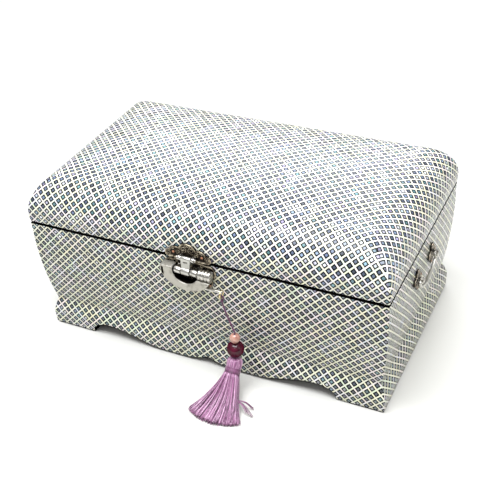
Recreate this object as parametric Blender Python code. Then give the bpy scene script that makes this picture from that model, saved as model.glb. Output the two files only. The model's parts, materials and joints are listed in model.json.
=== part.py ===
"""A lacquer jewelry box with a pillow lid, a bracket-foot plinth, a crescent padlock and side bails.

Metres, +Z up. The box stands on Z = 0, its length lies along X and its front faces -Y.
Profiles are written as (inset, height): the inset runs inwards from the box's outline at the parting line.
"""
import math

import bmesh
import bpy
from mathutils import Vector

# Case
case_half_length = 0.140
case_half_depth = 0.0805
case_rim_height = 0.0982
wall_straight = 0.015
waist_height = 0.0245
waist_inset = 0.0054
wall_inner_inset = 0.0100
wall_arc_steps = 8
glue_gap = 0.0003
floor_thickness = 0.006

# Plinth and its scalloped front
pad_height = 0.0010
pad_inset = 0.0026
pad_reach = 0.026
plinth_top_inset = 0.0056
flare_height = 0.0120
flare_inset = 0.0018
flare_power = 1.3
flare_steps = 5
foot_inset = 0.0020
foot_edge_round = 0.0010
plinth_inner_inset = 0.0130
block_leg = 0.020
foot_length = 0.036
arch_peak_from_end = 0.052
arch_height = 0.0097
lobe_share = 0.27
lobe_height = 0.0006
cusp_share = 0.17
cusp_height = 0.0062
cusp_power = 2.2
scallop_steps = 7

# Lining boards and what they carry
lining_thickness = 0.003
lining_lip = 0.0033
cushion_height = 0.0030
cushion_round = 0.0012
ledge_width = 0.006
ledge_height = 0.008

# Lid
lid_gap = 0.0004
lid_bulge = 0.0009
lid_bulge_height = 0.0085
lid_shoulder_radius = 0.0275
lid_crown_slope = math.radians(12)
lid_crown_rise = 0.0063
lid_corner_growth = 0.20
lid_edge_radius = 0.0006
lid_rim_inset = 0.0095
lid_hollow_radius = 0.016
lid_hollow_straight = 0.012
lid_hollow_corner = 0.003
lid_lining_thickness = 0.0015
lid_lining_low = 0.0043
shoulder_steps = 7
bulge_steps = 3
hollow_steps = 5
corner_steps = 6
crown_shares = (0.84, 0.66, 0.46, 0.24)
crown_power_x = 4
crown_power_y = 2

# Mirror in the lid
mirror_frame_inset = 0.0362
mirror_frame_width = 0.010
mirror_frame_thickness = 0.005
mirror_frame_chamfer = 0.0020
mirror_rebate_width = 0.003
mirror_thickness = 0.0025

# Tray
tray_clearance = 0.0020
tray_height = 0.0270
tray_top_height = 0.0984
tray_wall = 0.0035
tray_edge_round = 0.0008
tray_floor_thickness = 0.0030
tray_divider_thickness = 0.0030
tray_divider_height = 0.0170
tray_divider_y = -0.004
tray_cross_share = 0.34
tray_notch_radius = 0.0130
tray_notch_depth = 0.0090
ring_roll_count = 4
ring_roll_rise = 0.0150
ring_roll_top_steps = 6
tray_lift_travel = 0.014

# Hinges
hinge_from_end = 0.055
hinge_length = 0.030
hinge_leaf_thickness = 0.0012
hinge_leaf_depth = 0.0075
hinge_barrel_radius = 0.0022
hinge_back_gap = 0.0003
hinge_pin_radius = 0.0010
hinge_pin_head_radius = 0.0017
hinge_pin_head_length = 0.0014
knuckle_gap = 0.0003
hinge_share = 1 / 3

# Clasp
clasp_shift = -0.0045
running_clearance = 0.00005
plate_thickness = 0.0010
plate_gap = 0.0003
upper_plate_lobes = ((0.0, 0.0072, 0.0070), (0.0095, 0.0050, 0.0054), (0.0148, 0.0036, 0.0033))
lower_plate_lobes = (
    (0.0, -0.0130, 0.0085), (0.0080, -0.0080, 0.0080), (0.0142, -0.0072, 0.0062), (0.0120, -0.0155, 0.0055))
plate_edge_margin = 0.0004
plate_outline_steps = 56
hasp_axis_off = 0.0043
hasp_axis_rise = 0.0030
hasp_pin_radius = 0.0008
hasp_pin_head_radius = 0.0014
hasp_pin_head_length = 0.0008
hasp_knuckle_radius = 0.0018
hasp_lug_width = 0.0024
hasp_width = 0.0074
hasp_end_width = 0.0062
hasp_side_gap = 0.0003
hasp_roll_inner = 0.00215
hasp_roll_outer = 0.00295
hasp_roll_start = math.radians(-48)
hasp_roll_end = math.radians(140)
hasp_front_turn = math.radians(24)
hasp_back_turn = math.radians(-10)
hasp_knuckle_front = math.radians(100)
hasp_knuckle_back = math.radians(150)
hasp_roll_steps = 12
hasp_slot_width = 0.0034
hasp_slot_height = 0.0009
hasp_slot_rise = 0.0040

# Crescent padlock, its bolt and its key
rod_off = 0.0060
rod_drop = 0.0059
rod_radius = 0.00125
lug_radius = 0.0028
lug_width = 0.0048
lug_gap = 0.0008
lug_web_height = 0.0034
lock_thickness = 0.0070
lock_outer_half_width = 0.0198
lock_outer_depth = 0.0158
lock_outer_centre = (0.0003, 0.0010)
lock_inner_half_width = 0.0096
lock_inner_depth = 0.0084
lock_horn_top = 0.0034
lock_shoulder_drop = 0.0043
lock_bevel = 0.0008
lock_steps = 16
rod_end_inset = 0.0015
bolt_head_radius = 0.0039
bolt_head_neck = 0.0032
bolt_head_length = 0.0102
bolt_head_start = 0.0095
bolt_ridges = 4
bolt_travel = 0.0275
key_drop = 0.0112
key_radius = 0.0011
key_hole_radius = 0.0014
key_inner_x = 0.0030
key_outer_x = 0.0270
key_ring_x = 0.0260
key_ring_radius = 0.0026
key_ring_wire = 0.00065
key_ring_sag = 0.0021

# Side handles
handle_y = -0.003
handle_height = 0.0770
eye_spacing = 0.034
eye_off = 0.0036
eye_radius = 0.0024
eye_length = 0.0026
eye_web_height = 0.0030
leaf_half_width = 0.0082
leaf_half_height = 0.0088
leaf_wave_share = 0.26
leaf_points = 4
bail_radius = 0.00115
bail_pin_past = 0.0003
bail_shoulder = 0.0031
bail_drop = 0.0106
bail_bend_radius = 0.0016
bail_bow_power = 1.25
bail_bow_steps = 14

# Tassel: its places are measured from the bottom of the key's ring
cord_radius = 0.0006
cord_gap = 0.0003
cord_loop_radius = 0.0015
cord_loop_start = math.radians(-42)
cord_loop_end = math.radians(-325)
cord_loop_steps = 10
cord_knot = ((-0.0021, 1.3), (-0.0027, 1.75), (-0.0033, 1.75), (-0.0039, 1.2))
cord_route = ((0.0012, -0.0006, -0.0070), (0.0050, -0.0018, -0.0160))
cord_entry_share = 1.5
cord_steps = 4
pearl_radius = 0.0039
bead_radius = 0.00635
bead_end_radius = 0.0015
pearl_place = (0.0095, -0.0035, -0.0305)
bead_place = (0.0090, -0.0030, -0.0411)
tassel_top_lean = math.radians(13)
tassel_band_lean = math.radians(46)
head_radius = 0.0057
head_length = 0.0080
head_shares = ((0, 0.30), (0.05, 0.50), (0.15, 0.80), (0.30, 0.94), (0.50, 1.0), (0.75, 1.0), (1.0, 0.95))
band_radius = 0.0061
band_length = 0.0042
band_edge_share = 0.17
skirt_top_radius = 0.0056
skirt_half_width = 0.0210
skirt_arc_radius = 0.0340
skirt_drift = -0.0015
skirt_rest = 0.0002
skirt_half_thickness = 0.0016
skirt_reach = 0.0355
skirt_flutes = 16
skirt_flute_share = 0.09
skirt_handle_share = 0.42
skirt_rings = 9
skirt_points = 48

# Facets
sharp_angle = math.radians(35)
web_share = 0.8
ridge_share = 0.25
bend_steps = 4
small_round_sides = 16
wire_sides = 12
tube_resolution = 2
bead_sides = 20
bead_rings = 10

# Working values that follow from the sizes above
through = 0.002
lid_base_height = case_rim_height + lid_gap
hinge_axis_y = case_half_depth + hinge_back_gap + hinge_barrel_radius
hinge_axis_z = case_rim_height + lid_gap / 2
lock_front_reach = rod_off + max(lock_thickness / 2, bolt_head_radius)
hinge_back_reach = hinge_back_gap + hinge_barrel_radius * 2
case_y = (lock_front_reach - hinge_back_reach) / 2
hasp_axis = Vector((clasp_shift, -case_half_depth - hasp_axis_off, lid_base_height + hasp_axis_rise))
rod_axis = Vector((clasp_shift, -case_half_depth - rod_off, case_rim_height - rod_drop))
ring_centre = rod_axis + Vector((key_ring_x, 0, -key_drop - key_ring_sag))
ring_place = ring_centre - Vector((0, 0, key_ring_radius + key_ring_wire))
foot_edge_x = case_half_length - foot_length
arch_peak_x = case_half_length - arch_peak_from_end
lobe_x = case_half_length * lobe_share
cusp_x = case_half_length * cusp_share
lining_inner_inset = wall_inner_inset + glue_gap + lining_thickness
lining_top = case_rim_height + lining_lip
floor_bottom = waist_height
floor_top = floor_bottom + floor_thickness
lining_bottom = floor_top + glue_gap
tray_base = tray_top_height - tray_height
tray_half_x = case_half_length - lining_inner_inset - tray_clearance
tray_half_y = case_half_depth - lining_inner_inset - tray_clearance
tray_cross_x = (tray_half_x - tray_wall) * tray_cross_share
tray_middle_height = (tray_base + tray_top_height) / 2
lid_shoulder_inset = lid_shoulder_radius - lid_bulge
hollow_ceiling = lid_hollow_straight + lid_hollow_radius
lining_ceiling = lid_base_height + hollow_ceiling - glue_gap - lid_lining_thickness
mirror_top = lining_ceiling - glue_gap
mirror_frame_half_x = case_half_length - mirror_frame_inset
mirror_frame_half_y = case_half_depth - mirror_frame_inset
hinge_places = (hinge_from_end - case_half_length, case_half_length - hinge_from_end)


def clear_scene():
    for item in list(bpy.data.objects):
        bpy.data.objects.remove(item, do_unlink=True)


def make_material(name, color, roughness, metallic=0.0):
    material = bpy.data.materials.new(name)
    material.use_nodes = True
    shader = material.node_tree.nodes["Principled BSDF"]
    shader.inputs["Base Color"].default_value = (*color, 1.0)
    shader.inputs["Roughness"].default_value = roughness
    shader.inputs["Metallic"].default_value = metallic
    return material


def joint_frame(name, pivot, parent=None):
    """An empty on a joint's axis. The pivot is in the box's own coordinates."""
    frame = bpy.data.objects.new(name, None)
    bpy.context.collection.objects.link(frame)
    pivots[name] = Vector(pivot)
    if parent is None:
        frame.location = (0, case_y, 0)
    else:
        frame.parent = parent
        frame.location = pivots[name] - pivots[parent.name]
    return frame


def add_piece(name, shape, material, frame, smooth_angle=None):
    """Turns a bmesh in the box's coordinates into an object carried by a frame."""
    bmesh.ops.translate(shape, verts=shape.verts, vec=-pivots[frame.name])
    bmesh.ops.recalc_face_normals(shape, faces=shape.faces)
    mesh = bpy.data.meshes.new(name)
    shape.to_mesh(mesh)
    shape.free()
    mesh.materials.append(materials[material])
    if smooth_angle is not None:
        mesh.shade_smooth()
        mesh.set_sharp_from_angle(angle=smooth_angle)
    piece = bpy.data.objects.new(name, mesh)
    bpy.context.collection.objects.link(piece)
    piece.parent = frame
    return piece


def combine(piece, shape, frame, operation="DIFFERENCE"):
    """Adds a Boolean whose operand is a hidden helper object."""
    helper = add_piece(piece.name + "_helper", shape, "helper", frame)
    helper.hide_render = True
    helper.display_type = "WIRE"
    modifier = piece.modifiers.new("shape_" + operation.lower(), "BOOLEAN")
    modifier.operation = operation
    modifier.object = helper
    return piece


def soften(piece, width, segments=2):
    """Rounds the piece's sharp edges, ahead of its later modifiers."""
    modifier = piece.modifiers.new("edge_round", "BEVEL")
    modifier.width = width
    modifier.segments = segments
    modifier.limit_method = "ANGLE"
    modifier.angle_limit = sharp_angle
    return piece


def loft(rings, closed=False, tip=None):
    """Skins rings of equally many points, with flat caps, a pointed end or a closed loop."""
    shape = bmesh.new()
    rows = [[shape.verts.new(point) for point in ring] for ring in rings]
    count = len(rows[0])
    pairs = list(zip(rows, rows[1:]))
    if closed:
        pairs.append((rows[-1], rows[0]))
    for low, high in pairs:
        for step in range(count):
            after = (step + 1) % count
            shape.faces.new((low[step], low[after], high[after], high[step]))
    if not closed:
        shape.faces.new(rows[0])
        if tip is None:
            shape.faces.new(rows[-1])
        else:
            top = shape.verts.new(tip)
            for step in range(count):
                shape.faces.new((rows[-1][step], rows[-1][(step + 1) % count], top))
    return shape


def block(low, high):
    shape = bmesh.new()
    bmesh.ops.create_cube(shape, size=1.0)
    low, high = Vector(low), Vector(high)
    bmesh.ops.scale(shape, verts=shape.verts, vec=high - low)
    bmesh.ops.translate(shape, verts=shape.verts, vec=(low + high) / 2)
    return shape


def prism(outline, low, high, axis):
    """Extrudes a flat outline along X ((y, z) points), Y ((x, z) points) or Z ((x, y) points)."""
    def place(along, point):
        coordinates = list(point)
        coordinates.insert("xyz".index(axis), along)
        return Vector(coordinates)
    return loft([[place(low, point) for point in outline], [place(high, point) for point in outline]])


def turned_rings(profile, origin, direction, sides):
    """The rings that (distance, radius) pairs make about a line."""
    turn = Vector(direction).to_track_quat("Z", "Y")
    rings = []
    for distance, radius in profile:
        ring = []
        for side in range(sides):
            angle = math.tau * side / sides
            point = Vector((radius * math.cos(angle), radius * math.sin(angle), distance))
            ring.append(Vector(origin) + turn @ point)
        rings.append(ring)
    return rings


def turned(profile, origin, direction, sides):
    """Turns (distance, radius) pairs about a line."""
    return loft(turned_rings(profile, origin, direction, sides))


def turned_with_bore(profile, bore, origin, direction, sides):
    """A turned piece with a hole along its axis. The profile runs from end to end on the outside."""
    loop = profile + [(profile[-1][0], bore), (profile[0][0], bore)]
    return loft(turned_rings(loop, origin, direction, sides), closed=True)


def ball_profile(radius, end_radius, steps):
    reach = math.sqrt(radius ** 2 - end_radius ** 2)
    start = math.atan2(end_radius, reach)
    points = []
    for step in range(steps + 1):
        angle = start + (math.pi - 2 * start) * step / steps
        points.append((-radius * math.cos(angle), radius * math.sin(angle)))
    return points


def bore_radius(pin, clearance, sides):
    """A faceted bore's corner radius that leaves the clearance at the middle of its flats."""
    return (pin + clearance) / math.cos(math.pi / sides)


def mitred_board(section, side):
    """A board along one side of the box, from an (inset, height) section, mitred at both ends."""
    pull = glue_gap / math.sqrt(2)
    rings = []
    for end in (-1, 1):
        ring = []
        for inset, height in section:
            if side in ("front", "back"):
                sign = -1 if side == "front" else 1
                point = (end * (case_half_length - inset - pull), sign * (case_half_depth - inset), height)
            else:
                sign = -1 if side == "left" else 1
                point = (sign * (case_half_length - inset), end * (case_half_depth - inset - pull), height)
            ring.append(Vector(point))
        rings.append(ring)
    return loft(rings)


def frame_loop(half_x, half_y, section):
    """A four-sided frame in one piece, from an (inset, height) section that is a closed polygon."""
    rings = []
    for sign_x, sign_y in ((1, 1), (-1, 1), (-1, -1), (1, -1)):
        rings.append([Vector((sign_x * (half_x - inset), sign_y * (half_y - inset), height))
                      for inset, height in section])
    return loft(rings, closed=True)


def rounded_rectangle(half_x, half_y, radius, height):
    points = []
    corners = ((1, 1, 0), (-1, 1, 1), (-1, -1, 2), (1, -1, 3))
    for sign_x, sign_y, quarter in corners:
        for step in range(corner_steps + 1):
            angle = math.pi / 2 * (quarter + step / corner_steps)
            points.append(Vector((sign_x * (half_x - radius) + radius * math.cos(angle),
                                  sign_y * (half_y - radius) + radius * math.sin(angle), height)))
    return points


def box_contour(inset, radius, height):
    return rounded_rectangle(case_half_length - inset, case_half_depth - inset, radius, height)


def wall_section():
    drop = case_rim_height - wall_straight - waist_height
    radius = (drop ** 2 + waist_inset ** 2) / (2 * waist_inset)
    points = [(0, case_rim_height)]
    for step in range(wall_arc_steps + 1):
        fall = drop * step / wall_arc_steps
        inset = radius - math.sqrt(radius ** 2 - fall ** 2)
        points.append((inset, case_rim_height - wall_straight - fall))
    points += [(wall_inner_inset, waist_height), (wall_inner_inset, case_rim_height)]
    return points


def plinth_section():
    top = waist_height - glue_gap
    points = []
    for step in range(flare_steps + 1):
        share = step / flare_steps
        inset = flare_inset + (plinth_top_inset - flare_inset) * (1 - share) ** flare_power
        points.append((inset, top + (flare_height - top) * share))
    points += [(foot_inset, pad_height + foot_edge_round), (foot_inset + foot_edge_round, pad_height),
               (plinth_inner_inset, pad_height), (plinth_inner_inset, top)]
    return points


def scallop_outline():
    """The space under the front apron: a bracket foot's arch, a low lobe and a pointed middle."""
    half = []
    for step in range(scallop_steps + 1):
        angle = math.pi / 2 * step / scallop_steps
        reach = (foot_edge_x - arch_peak_x) * math.cos(angle)
        half.append((arch_peak_x + reach, arch_height * math.sin(angle)))
    for step in range(1, scallop_steps + 1):
        share = step / scallop_steps
        swell = (1 + math.cos(math.pi * share)) / 2
        reach = (lobe_x - arch_peak_x) * share
        half.append((arch_peak_x + reach, lobe_height + (arch_height - lobe_height) * swell))
    for step in range(scallop_steps + 1):
        share = step / scallop_steps
        rise = share ** cusp_power
        half.append((cusp_x * (1 - share), lobe_height + (cusp_height - lobe_height) * rise))
    right = [(x, pad_height + height) for x, height in half]
    left = [(-x, height) for x, height in reversed(right[:-1])]
    floor = pad_height - through
    return [(foot_edge_x, floor)] + right + left + [(-foot_edge_x, floor)]


def build_case():
    for side in ("front", "back", "left", "right"):
        wall = add_piece(side + "_wall", mitred_board(wall_section(), side), "lacquer", case_frame)
        if side == "back":
            for place_x in hinge_places:
                combine(wall, hinge_recess(place_x, -1), case_frame)
        apron = add_piece(side + "_apron", mitred_board(plinth_section(), side), "lacquer", case_frame)
        if side in ("front", "back"):
            sign = -1 if side == "front" else 1
            near = sign * (case_half_depth + through)
            far = sign * (case_half_depth - plinth_inner_inset - through)
            combine(apron, prism(scallop_outline(), min(near, far), max(near, far), "y"), case_frame)
        section = [(wall_inner_inset + glue_gap, lining_bottom), (wall_inner_inset + glue_gap, lining_top),
                   (lining_inner_inset, lining_top), (lining_inner_inset, lining_bottom)]
        add_piece("lining_" + side, mitred_board(section, side), "velvet", case_frame)
    inner = wall_inner_inset + glue_gap
    add_piece("case_floor", block((inner - case_half_length, inner - case_half_depth, floor_bottom),
                                  (case_half_length - inner, case_half_depth - inner, floor_top)),
              "lacquer", case_frame)
    inner = lining_inner_inset + glue_gap
    low = floor_top + glue_gap
    profile = ((0, 0), (0, cushion_height - cushion_round), (cushion_round, cushion_height))
    rings = [rounded_rectangle(case_half_length - inner - inset, case_half_depth - inner - inset,
                               cushion_round * 2, low + rise)
             for inset, rise in profile]
    add_piece("floor_cushion", loft(rings), "velvet", case_frame)
    reach = case_half_depth - inner
    for side, sign in (("left", -1), ("right", 1)):
        outer_x = sign * (case_half_length - inner)
        inner_x = sign * (case_half_length - inner - ledge_width)
        add_piece("tray_ledge_" + side,
                  block((min(outer_x, inner_x), -reach, tray_base - glue_gap - ledge_height),
                        (max(outer_x, inner_x), reach, tray_base - glue_gap)), "velvet", case_frame)


def build_feet():
    inner = plinth_inner_inset + glue_gap
    top = waist_height - glue_gap
    for name_y, sign_y in (("front", -1), ("back", 1)):
        for name_x, sign_x in (("left", -1), ("right", 1)):
            corner_x = case_half_length - inner
            corner_y = case_half_depth - inner
            outline = [(corner_x, corner_y), (corner_x - block_leg, corner_y),
                       (corner_x, corner_y - block_leg)]
            outline = [(sign_x * x, sign_y * y) for x, y in outline]
            add_piece(f"corner_block_{name_y}_{name_x}", prism(outline, pad_height, top, "z"), "bare_wood",
                      case_frame)
            edge_x = case_half_length - pad_inset
            edge_y = case_half_depth - pad_inset
            cut = pad_reach / 2
            outline = [(edge_x, edge_y), (edge_x - pad_reach, edge_y), (edge_x - pad_reach, edge_y - cut),
                       (edge_x - cut, edge_y - pad_reach), (edge_x, edge_y - pad_reach)]
            outline = [(sign_x * x, sign_y * y) for x, y in outline]
            add_piece(f"foot_pad_{name_y}_{name_x}", prism(outline, 0, pad_height, "z"), "felt", case_frame)


def lid_outer_rings():
    """(inset, rise, corner radius) of rings from the lid's lower edge, over the bulge and the shoulder."""
    radius = (lid_bulge_height ** 2 + lid_bulge ** 2) / (2 * lid_bulge)
    profile = []
    for step in range(bulge_steps):
        rise = lid_bulge_height * step / bulge_steps
        under = lid_bulge_height - rise
        profile.append((radius - lid_bulge - math.sqrt(radius ** 2 - under ** 2), rise))
    last = math.pi / 2 - lid_crown_slope
    for step in range(shoulder_steps + 1):
        angle = last * step / shoulder_steps
        profile.append((lid_shoulder_inset - lid_shoulder_radius * math.cos(angle),
                        lid_bulge_height + lid_shoulder_radius * math.sin(angle)))
    return [(inset, rise, lid_edge_radius + lid_corner_growth * rise) for inset, rise in profile]


def hollow_rings(offset, low):
    """Rings up the lid's hollow, drawn in by an offset, from a rise above the lid's lower edge."""
    radius = lid_hollow_radius - offset
    rings = [(lid_rim_inset + offset, low, lid_hollow_corner)]
    for step in range(hollow_steps + 1):
        angle = math.pi / 2 * step / hollow_steps
        rise = lid_hollow_straight + radius * math.sin(angle)
        inset = lid_rim_inset + lid_hollow_radius - radius * math.cos(angle)
        rings.append((inset, rise, lid_hollow_corner + lid_corner_growth * radius * math.sin(angle)))
    return rings


def build_lid():
    outer = [box_contour(inset, radius, lid_base_height + rise)
             for inset, rise, radius in lid_outer_rings()]
    edge = outer[-1]
    edge_x = max(point.x for point in edge)
    edge_y = max(point.y for point in edge)
    base = edge[0].z
    crown = []
    for share in crown_shares:
        ring = []
        for point in edge:
            fall_x = 1 - abs(point.x * share / edge_x) ** crown_power_x
            fall_y = 1 - abs(point.y * share / edge_y) ** crown_power_y
            ring.append(Vector((point.x * share, point.y * share, base + lid_crown_rise * fall_x * fall_y)))
        crown.append(ring)
    hollow = [box_contour(inset, radius, lid_base_height + rise)
              for inset, rise, radius in hollow_rings(0, 0)]
    shell = add_piece("lid_shell", loft(hollow[::-1] + outer + crown, tip=(0, 0, base + lid_crown_rise)),
                      "lacquer", lid_frame, smooth_angle=sharp_angle)
    for place_x in hinge_places:
        combine(shell, hinge_recess(place_x, 1), lid_frame)
    skin_rings = [box_contour(inset, radius, lid_base_height + rise)
                  for inset, rise, radius in hollow_rings(glue_gap, lid_lining_low)]
    face_rings = [box_contour(inset, radius, lid_base_height + rise)
                  for inset, rise, radius in hollow_rings(glue_gap + lid_lining_thickness, lid_lining_low)]
    add_piece("lid_lining", loft(face_rings[::-1] + skin_rings), "velvet", lid_frame,
              smooth_angle=sharp_angle)
    top = mirror_top
    bottom = mirror_top - mirror_frame_thickness
    rebate = mirror_top - mirror_thickness - glue_gap
    sight = mirror_frame_width
    section = [(0, top), (0, bottom + mirror_frame_chamfer), (mirror_frame_chamfer, bottom),
               (sight - mirror_frame_chamfer, bottom), (sight, (bottom + rebate) / 2), (sight, rebate),
               (sight - mirror_rebate_width, rebate), (sight - mirror_rebate_width, top)]
    add_piece("mirror_frame", frame_loop(mirror_frame_half_x, mirror_frame_half_y, section), "lacquer",
              lid_frame)
    half_x = mirror_frame_half_x - sight + mirror_rebate_width - glue_gap
    half_y = mirror_frame_half_y - sight + mirror_rebate_width - glue_gap
    add_piece("mirror", block((-half_x, -half_y, mirror_top - mirror_thickness),
                              (half_x, half_y, mirror_top)), "mirror", lid_frame)


def hinge_recess(place_x, side):
    """The mortise for one hinge leaf: side -1 is in the case's rim, 1 in the lid's."""
    face = case_rim_height if side < 0 else lid_base_height
    deep = face + side * (hinge_leaf_thickness + glue_gap)
    open_end = face - side * lid_gap / 2
    reach = hinge_length / 2 + glue_gap
    return block((place_x - reach, case_half_depth - hinge_leaf_depth - glue_gap, min(deep, open_end)),
                 (place_x + reach, case_half_depth + through, max(deep, open_end)))


def knuckle_outline(side):
    """A hinge knuckle and the web that joins it to its leaf, as (y, z) points."""
    face = case_rim_height if side < 0 else lid_base_height
    deep = face + side * hinge_leaf_thickness
    root = case_half_depth - hinge_leaf_thickness
    start = math.asin(abs(deep - hinge_axis_z) / hinge_barrel_radius)
    end = math.tau - math.asin(abs(face - hinge_axis_z) / hinge_barrel_radius)
    points = [(root, deep)]
    for step in range(small_round_sides + 1):
        angle = math.pi + start + (end - start) * step / small_round_sides
        points.append((hinge_axis_y + hinge_barrel_radius * math.cos(angle),
                       hinge_axis_z - side * hinge_barrel_radius * math.sin(angle)))
    points.append((root, face))
    return points


def build_hinges():
    knuckle = hinge_length * hinge_share
    bore = bore_radius(hinge_pin_radius, running_clearance, small_round_sides)
    for name, place_x in zip(("left", "right"), hinge_places):
        low = place_x - hinge_length / 2
        high = place_x + hinge_length / 2
        for side, frame, label in ((-1, case_frame, "case"), (1, lid_frame, "lid")):
            face = case_rim_height if side < 0 else lid_base_height
            deep = face + side * hinge_leaf_thickness
            leaf = add_piece(f"hinge_leaf_{label}_{name}",
                             block((low, case_half_depth - hinge_leaf_depth, min(face, deep)),
                                   (high, case_half_depth, max(face, deep))), "brass", frame)
            if side < 0:
                spans = ((low, low + knuckle), (high - knuckle, high))
            else:
                spans = ((low + knuckle + knuckle_gap, high - knuckle - knuckle_gap),)
            for start, end in spans:
                combine(leaf, prism(knuckle_outline(side), start, end, "x"), frame, "UNION")
            drill = [(0, bore), (hinge_length + 2 * through, bore)]
            combine(leaf, turned(drill, (low - through, hinge_axis_y, hinge_axis_z), (1, 0, 0),
                                 small_round_sides), frame)
        head = hinge_pin_head_radius
        shaft = hinge_pin_radius
        start = -knuckle_gap
        end = hinge_length + knuckle_gap
        profile = [(start - hinge_pin_head_length, shaft), (start - hinge_pin_head_length / 2, head),
                   (start, head), (start, shaft), (end, shaft), (end, head),
                   (end + hinge_pin_head_length / 2, head), (end + hinge_pin_head_length, shaft)]
        pin = turned(profile, (low, hinge_axis_y, hinge_axis_z), (1, 0, 0), small_round_sides)
        add_piece(f"hinge_pin_{name}", pin, "brass", case_frame, smooth_angle=sharp_angle)


def lobed_outline(lobes, centre_z, edge_z, up):
    """The outline of mirrored round lobes, seen from a centre, cut straight at an edge height."""
    circles = [(sign * x, z, radius) for x, z, radius in lobes for sign in (-1, 1)]
    points = []
    for step in range(plate_outline_steps):
        angle = math.tau * step / plate_outline_steps
        way = (math.cos(angle), math.sin(angle))
        reach = 0.0
        for x, z, radius in circles:
            along = x * way[0] + (z - centre_z) * way[1]
            inside = radius ** 2 - x ** 2 - (z - centre_z) ** 2 + along ** 2
            if inside >= 0:
                reach = max(reach, along + math.sqrt(inside))
        beyond = (centre_z + reach * way[1] - edge_z) * up
        if beyond < 0:
            reach = (edge_z - centre_z) / way[1]
        points.append((reach * way[0], centre_z + reach * way[1]))
    return points


def lug_outline(axis_off, root_off, radius, half_height, axis_z):
    """A lug seen along X: a round end on the axis and a web back to its plate, as (y, z) points."""
    start = math.asin(half_height / radius)
    points = [(-case_half_depth - root_off, axis_z - half_height)]
    for step in range(small_round_sides + 1):
        angle = math.pi + start + (math.tau - 2 * start) * step / small_round_sides
        out = axis_off + radius * math.cos(angle)
        points.append((-case_half_depth - out, axis_z + radius * math.sin(angle)))
    points.append((-case_half_depth - root_off, axis_z + half_height))
    return points


def plate_with_lugs(name, outline, plate_off, lugs, axis, bore, frame):
    """A flat plate on the box's front with round lugs on one axis."""
    outer = -case_half_depth - plate_off - plate_thickness
    plate = add_piece(name, prism(outline, outer, outer + plate_thickness, "y"), "silver", frame)
    for low, high, outline_lug in lugs:
        combine(plate, prism(outline_lug, low, high, "x"), frame, "UNION")
    reach = max(abs(low - clasp_shift) for low, high, outline_lug in lugs) + lug_width
    drill = [(0, bore), (reach * 2, bore)]
    start = (clasp_shift - reach, axis.y, axis.z)
    combine(plate, turned(drill, start, (1, 0, 0), small_round_sides), frame)
    return plate


def build_clasp_plates():
    root = plate_gap + plate_thickness / 2
    half = hasp_width / 2 + hasp_side_gap
    outline_lug = lug_outline(hasp_axis_off, lid_bulge + root, hasp_knuckle_radius,
                              hasp_knuckle_radius * web_share, hasp_axis.z)
    lugs = [(clasp_shift + half, clasp_shift + half + hasp_lug_width, outline_lug),
            (clasp_shift - half - hasp_lug_width, clasp_shift - half, outline_lug)]
    outline = [(clasp_shift + x, lid_base_height + z)
               for x, z in lobed_outline(upper_plate_lobes, upper_plate_lobes[1][1], plate_edge_margin, 1)]
    plate_with_lugs("hasp_plate", outline, lid_bulge + plate_gap, lugs, hasp_axis,
                    bore_radius(hasp_pin_radius, running_clearance, small_round_sides), lid_frame)
    low = half + hasp_lug_width + knuckle_gap
    head = low + hasp_pin_head_length
    profile = [(-head, hasp_pin_head_radius), (-low, hasp_pin_head_radius), (-low, hasp_pin_radius),
               (low, hasp_pin_radius), (low, hasp_pin_head_radius), (head, hasp_pin_head_radius)]
    add_piece("hasp_pin", turned(profile, hasp_axis, (1, 0, 0), small_round_sides), "silver", lid_frame)

    half = hasp_end_width / 2 + lug_gap
    outline_lug = lug_outline(rod_off, root, lug_radius, lug_web_height / 2, rod_axis.z)
    lugs = [(clasp_shift + half, clasp_shift + half + lug_width, outline_lug),
            (clasp_shift - half - lug_width, clasp_shift - half, outline_lug)]
    lobes = lobed_outline(lower_plate_lobes, lower_plate_lobes[1][1], -plate_edge_margin, -1)
    outline = [(clasp_shift + x, case_rim_height + z) for x, z in lobes]
    plate_with_lugs("staple_plate", outline, plate_gap, lugs, rod_axis,
                    bore_radius(rod_radius, running_clearance, small_round_sides), case_frame)


def build_hasp():
    """A strap from its pin down to a rolled end that hooks over the lock's rod."""
    def on_circle(centre, radius, angle):
        return (centre.y - radius * math.sin(angle), centre.z + radius * math.cos(angle))

    def arc(centre, radius, start, end):
        return [on_circle(centre, radius, start + (end - start) * step / hasp_roll_steps)
                for step in range(hasp_roll_steps + 1)]

    outline = arc(rod_axis, hasp_roll_outer, hasp_roll_end, hasp_front_turn)
    outline += arc(hasp_axis, hasp_knuckle_radius, hasp_knuckle_front, hasp_knuckle_back - math.tau)
    outline += arc(rod_axis, hasp_roll_outer, hasp_back_turn, hasp_roll_start)
    outline += arc(rod_axis, hasp_roll_inner, hasp_roll_start, hasp_roll_end)
    top = hasp_axis.z - hasp_knuckle_radius
    bottom = rod_axis.z + hasp_roll_outer
    rings = []
    for sign in (-1, 1):
        ring = []
        for y, z in outline:
            share = min(max((z - bottom) / (top - bottom), 0), 1)
            half = (hasp_end_width + (hasp_width - hasp_end_width) * share) / 2
            ring.append(Vector((clasp_shift + sign * half, y, z)))
        rings.append(ring)
    hasp = add_piece("hasp", loft(rings), "silver", hasp_frame)
    bore = bore_radius(hasp_pin_radius, running_clearance, small_round_sides)
    drill = [(-hasp_width, bore), (hasp_width, bore)]
    combine(hasp, turned(drill, hasp_axis, (1, 0, 0), small_round_sides), hasp_frame)
    slot_low = (clasp_shift - hasp_slot_width / 2, rod_axis.y - lug_radius * 2, bottom + hasp_slot_rise)
    slot_high = (clasp_shift + hasp_slot_width / 2, -case_half_depth, slot_low[2] + hasp_slot_height)
    combine(hasp, block(slot_low, slot_high), hasp_frame)


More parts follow.
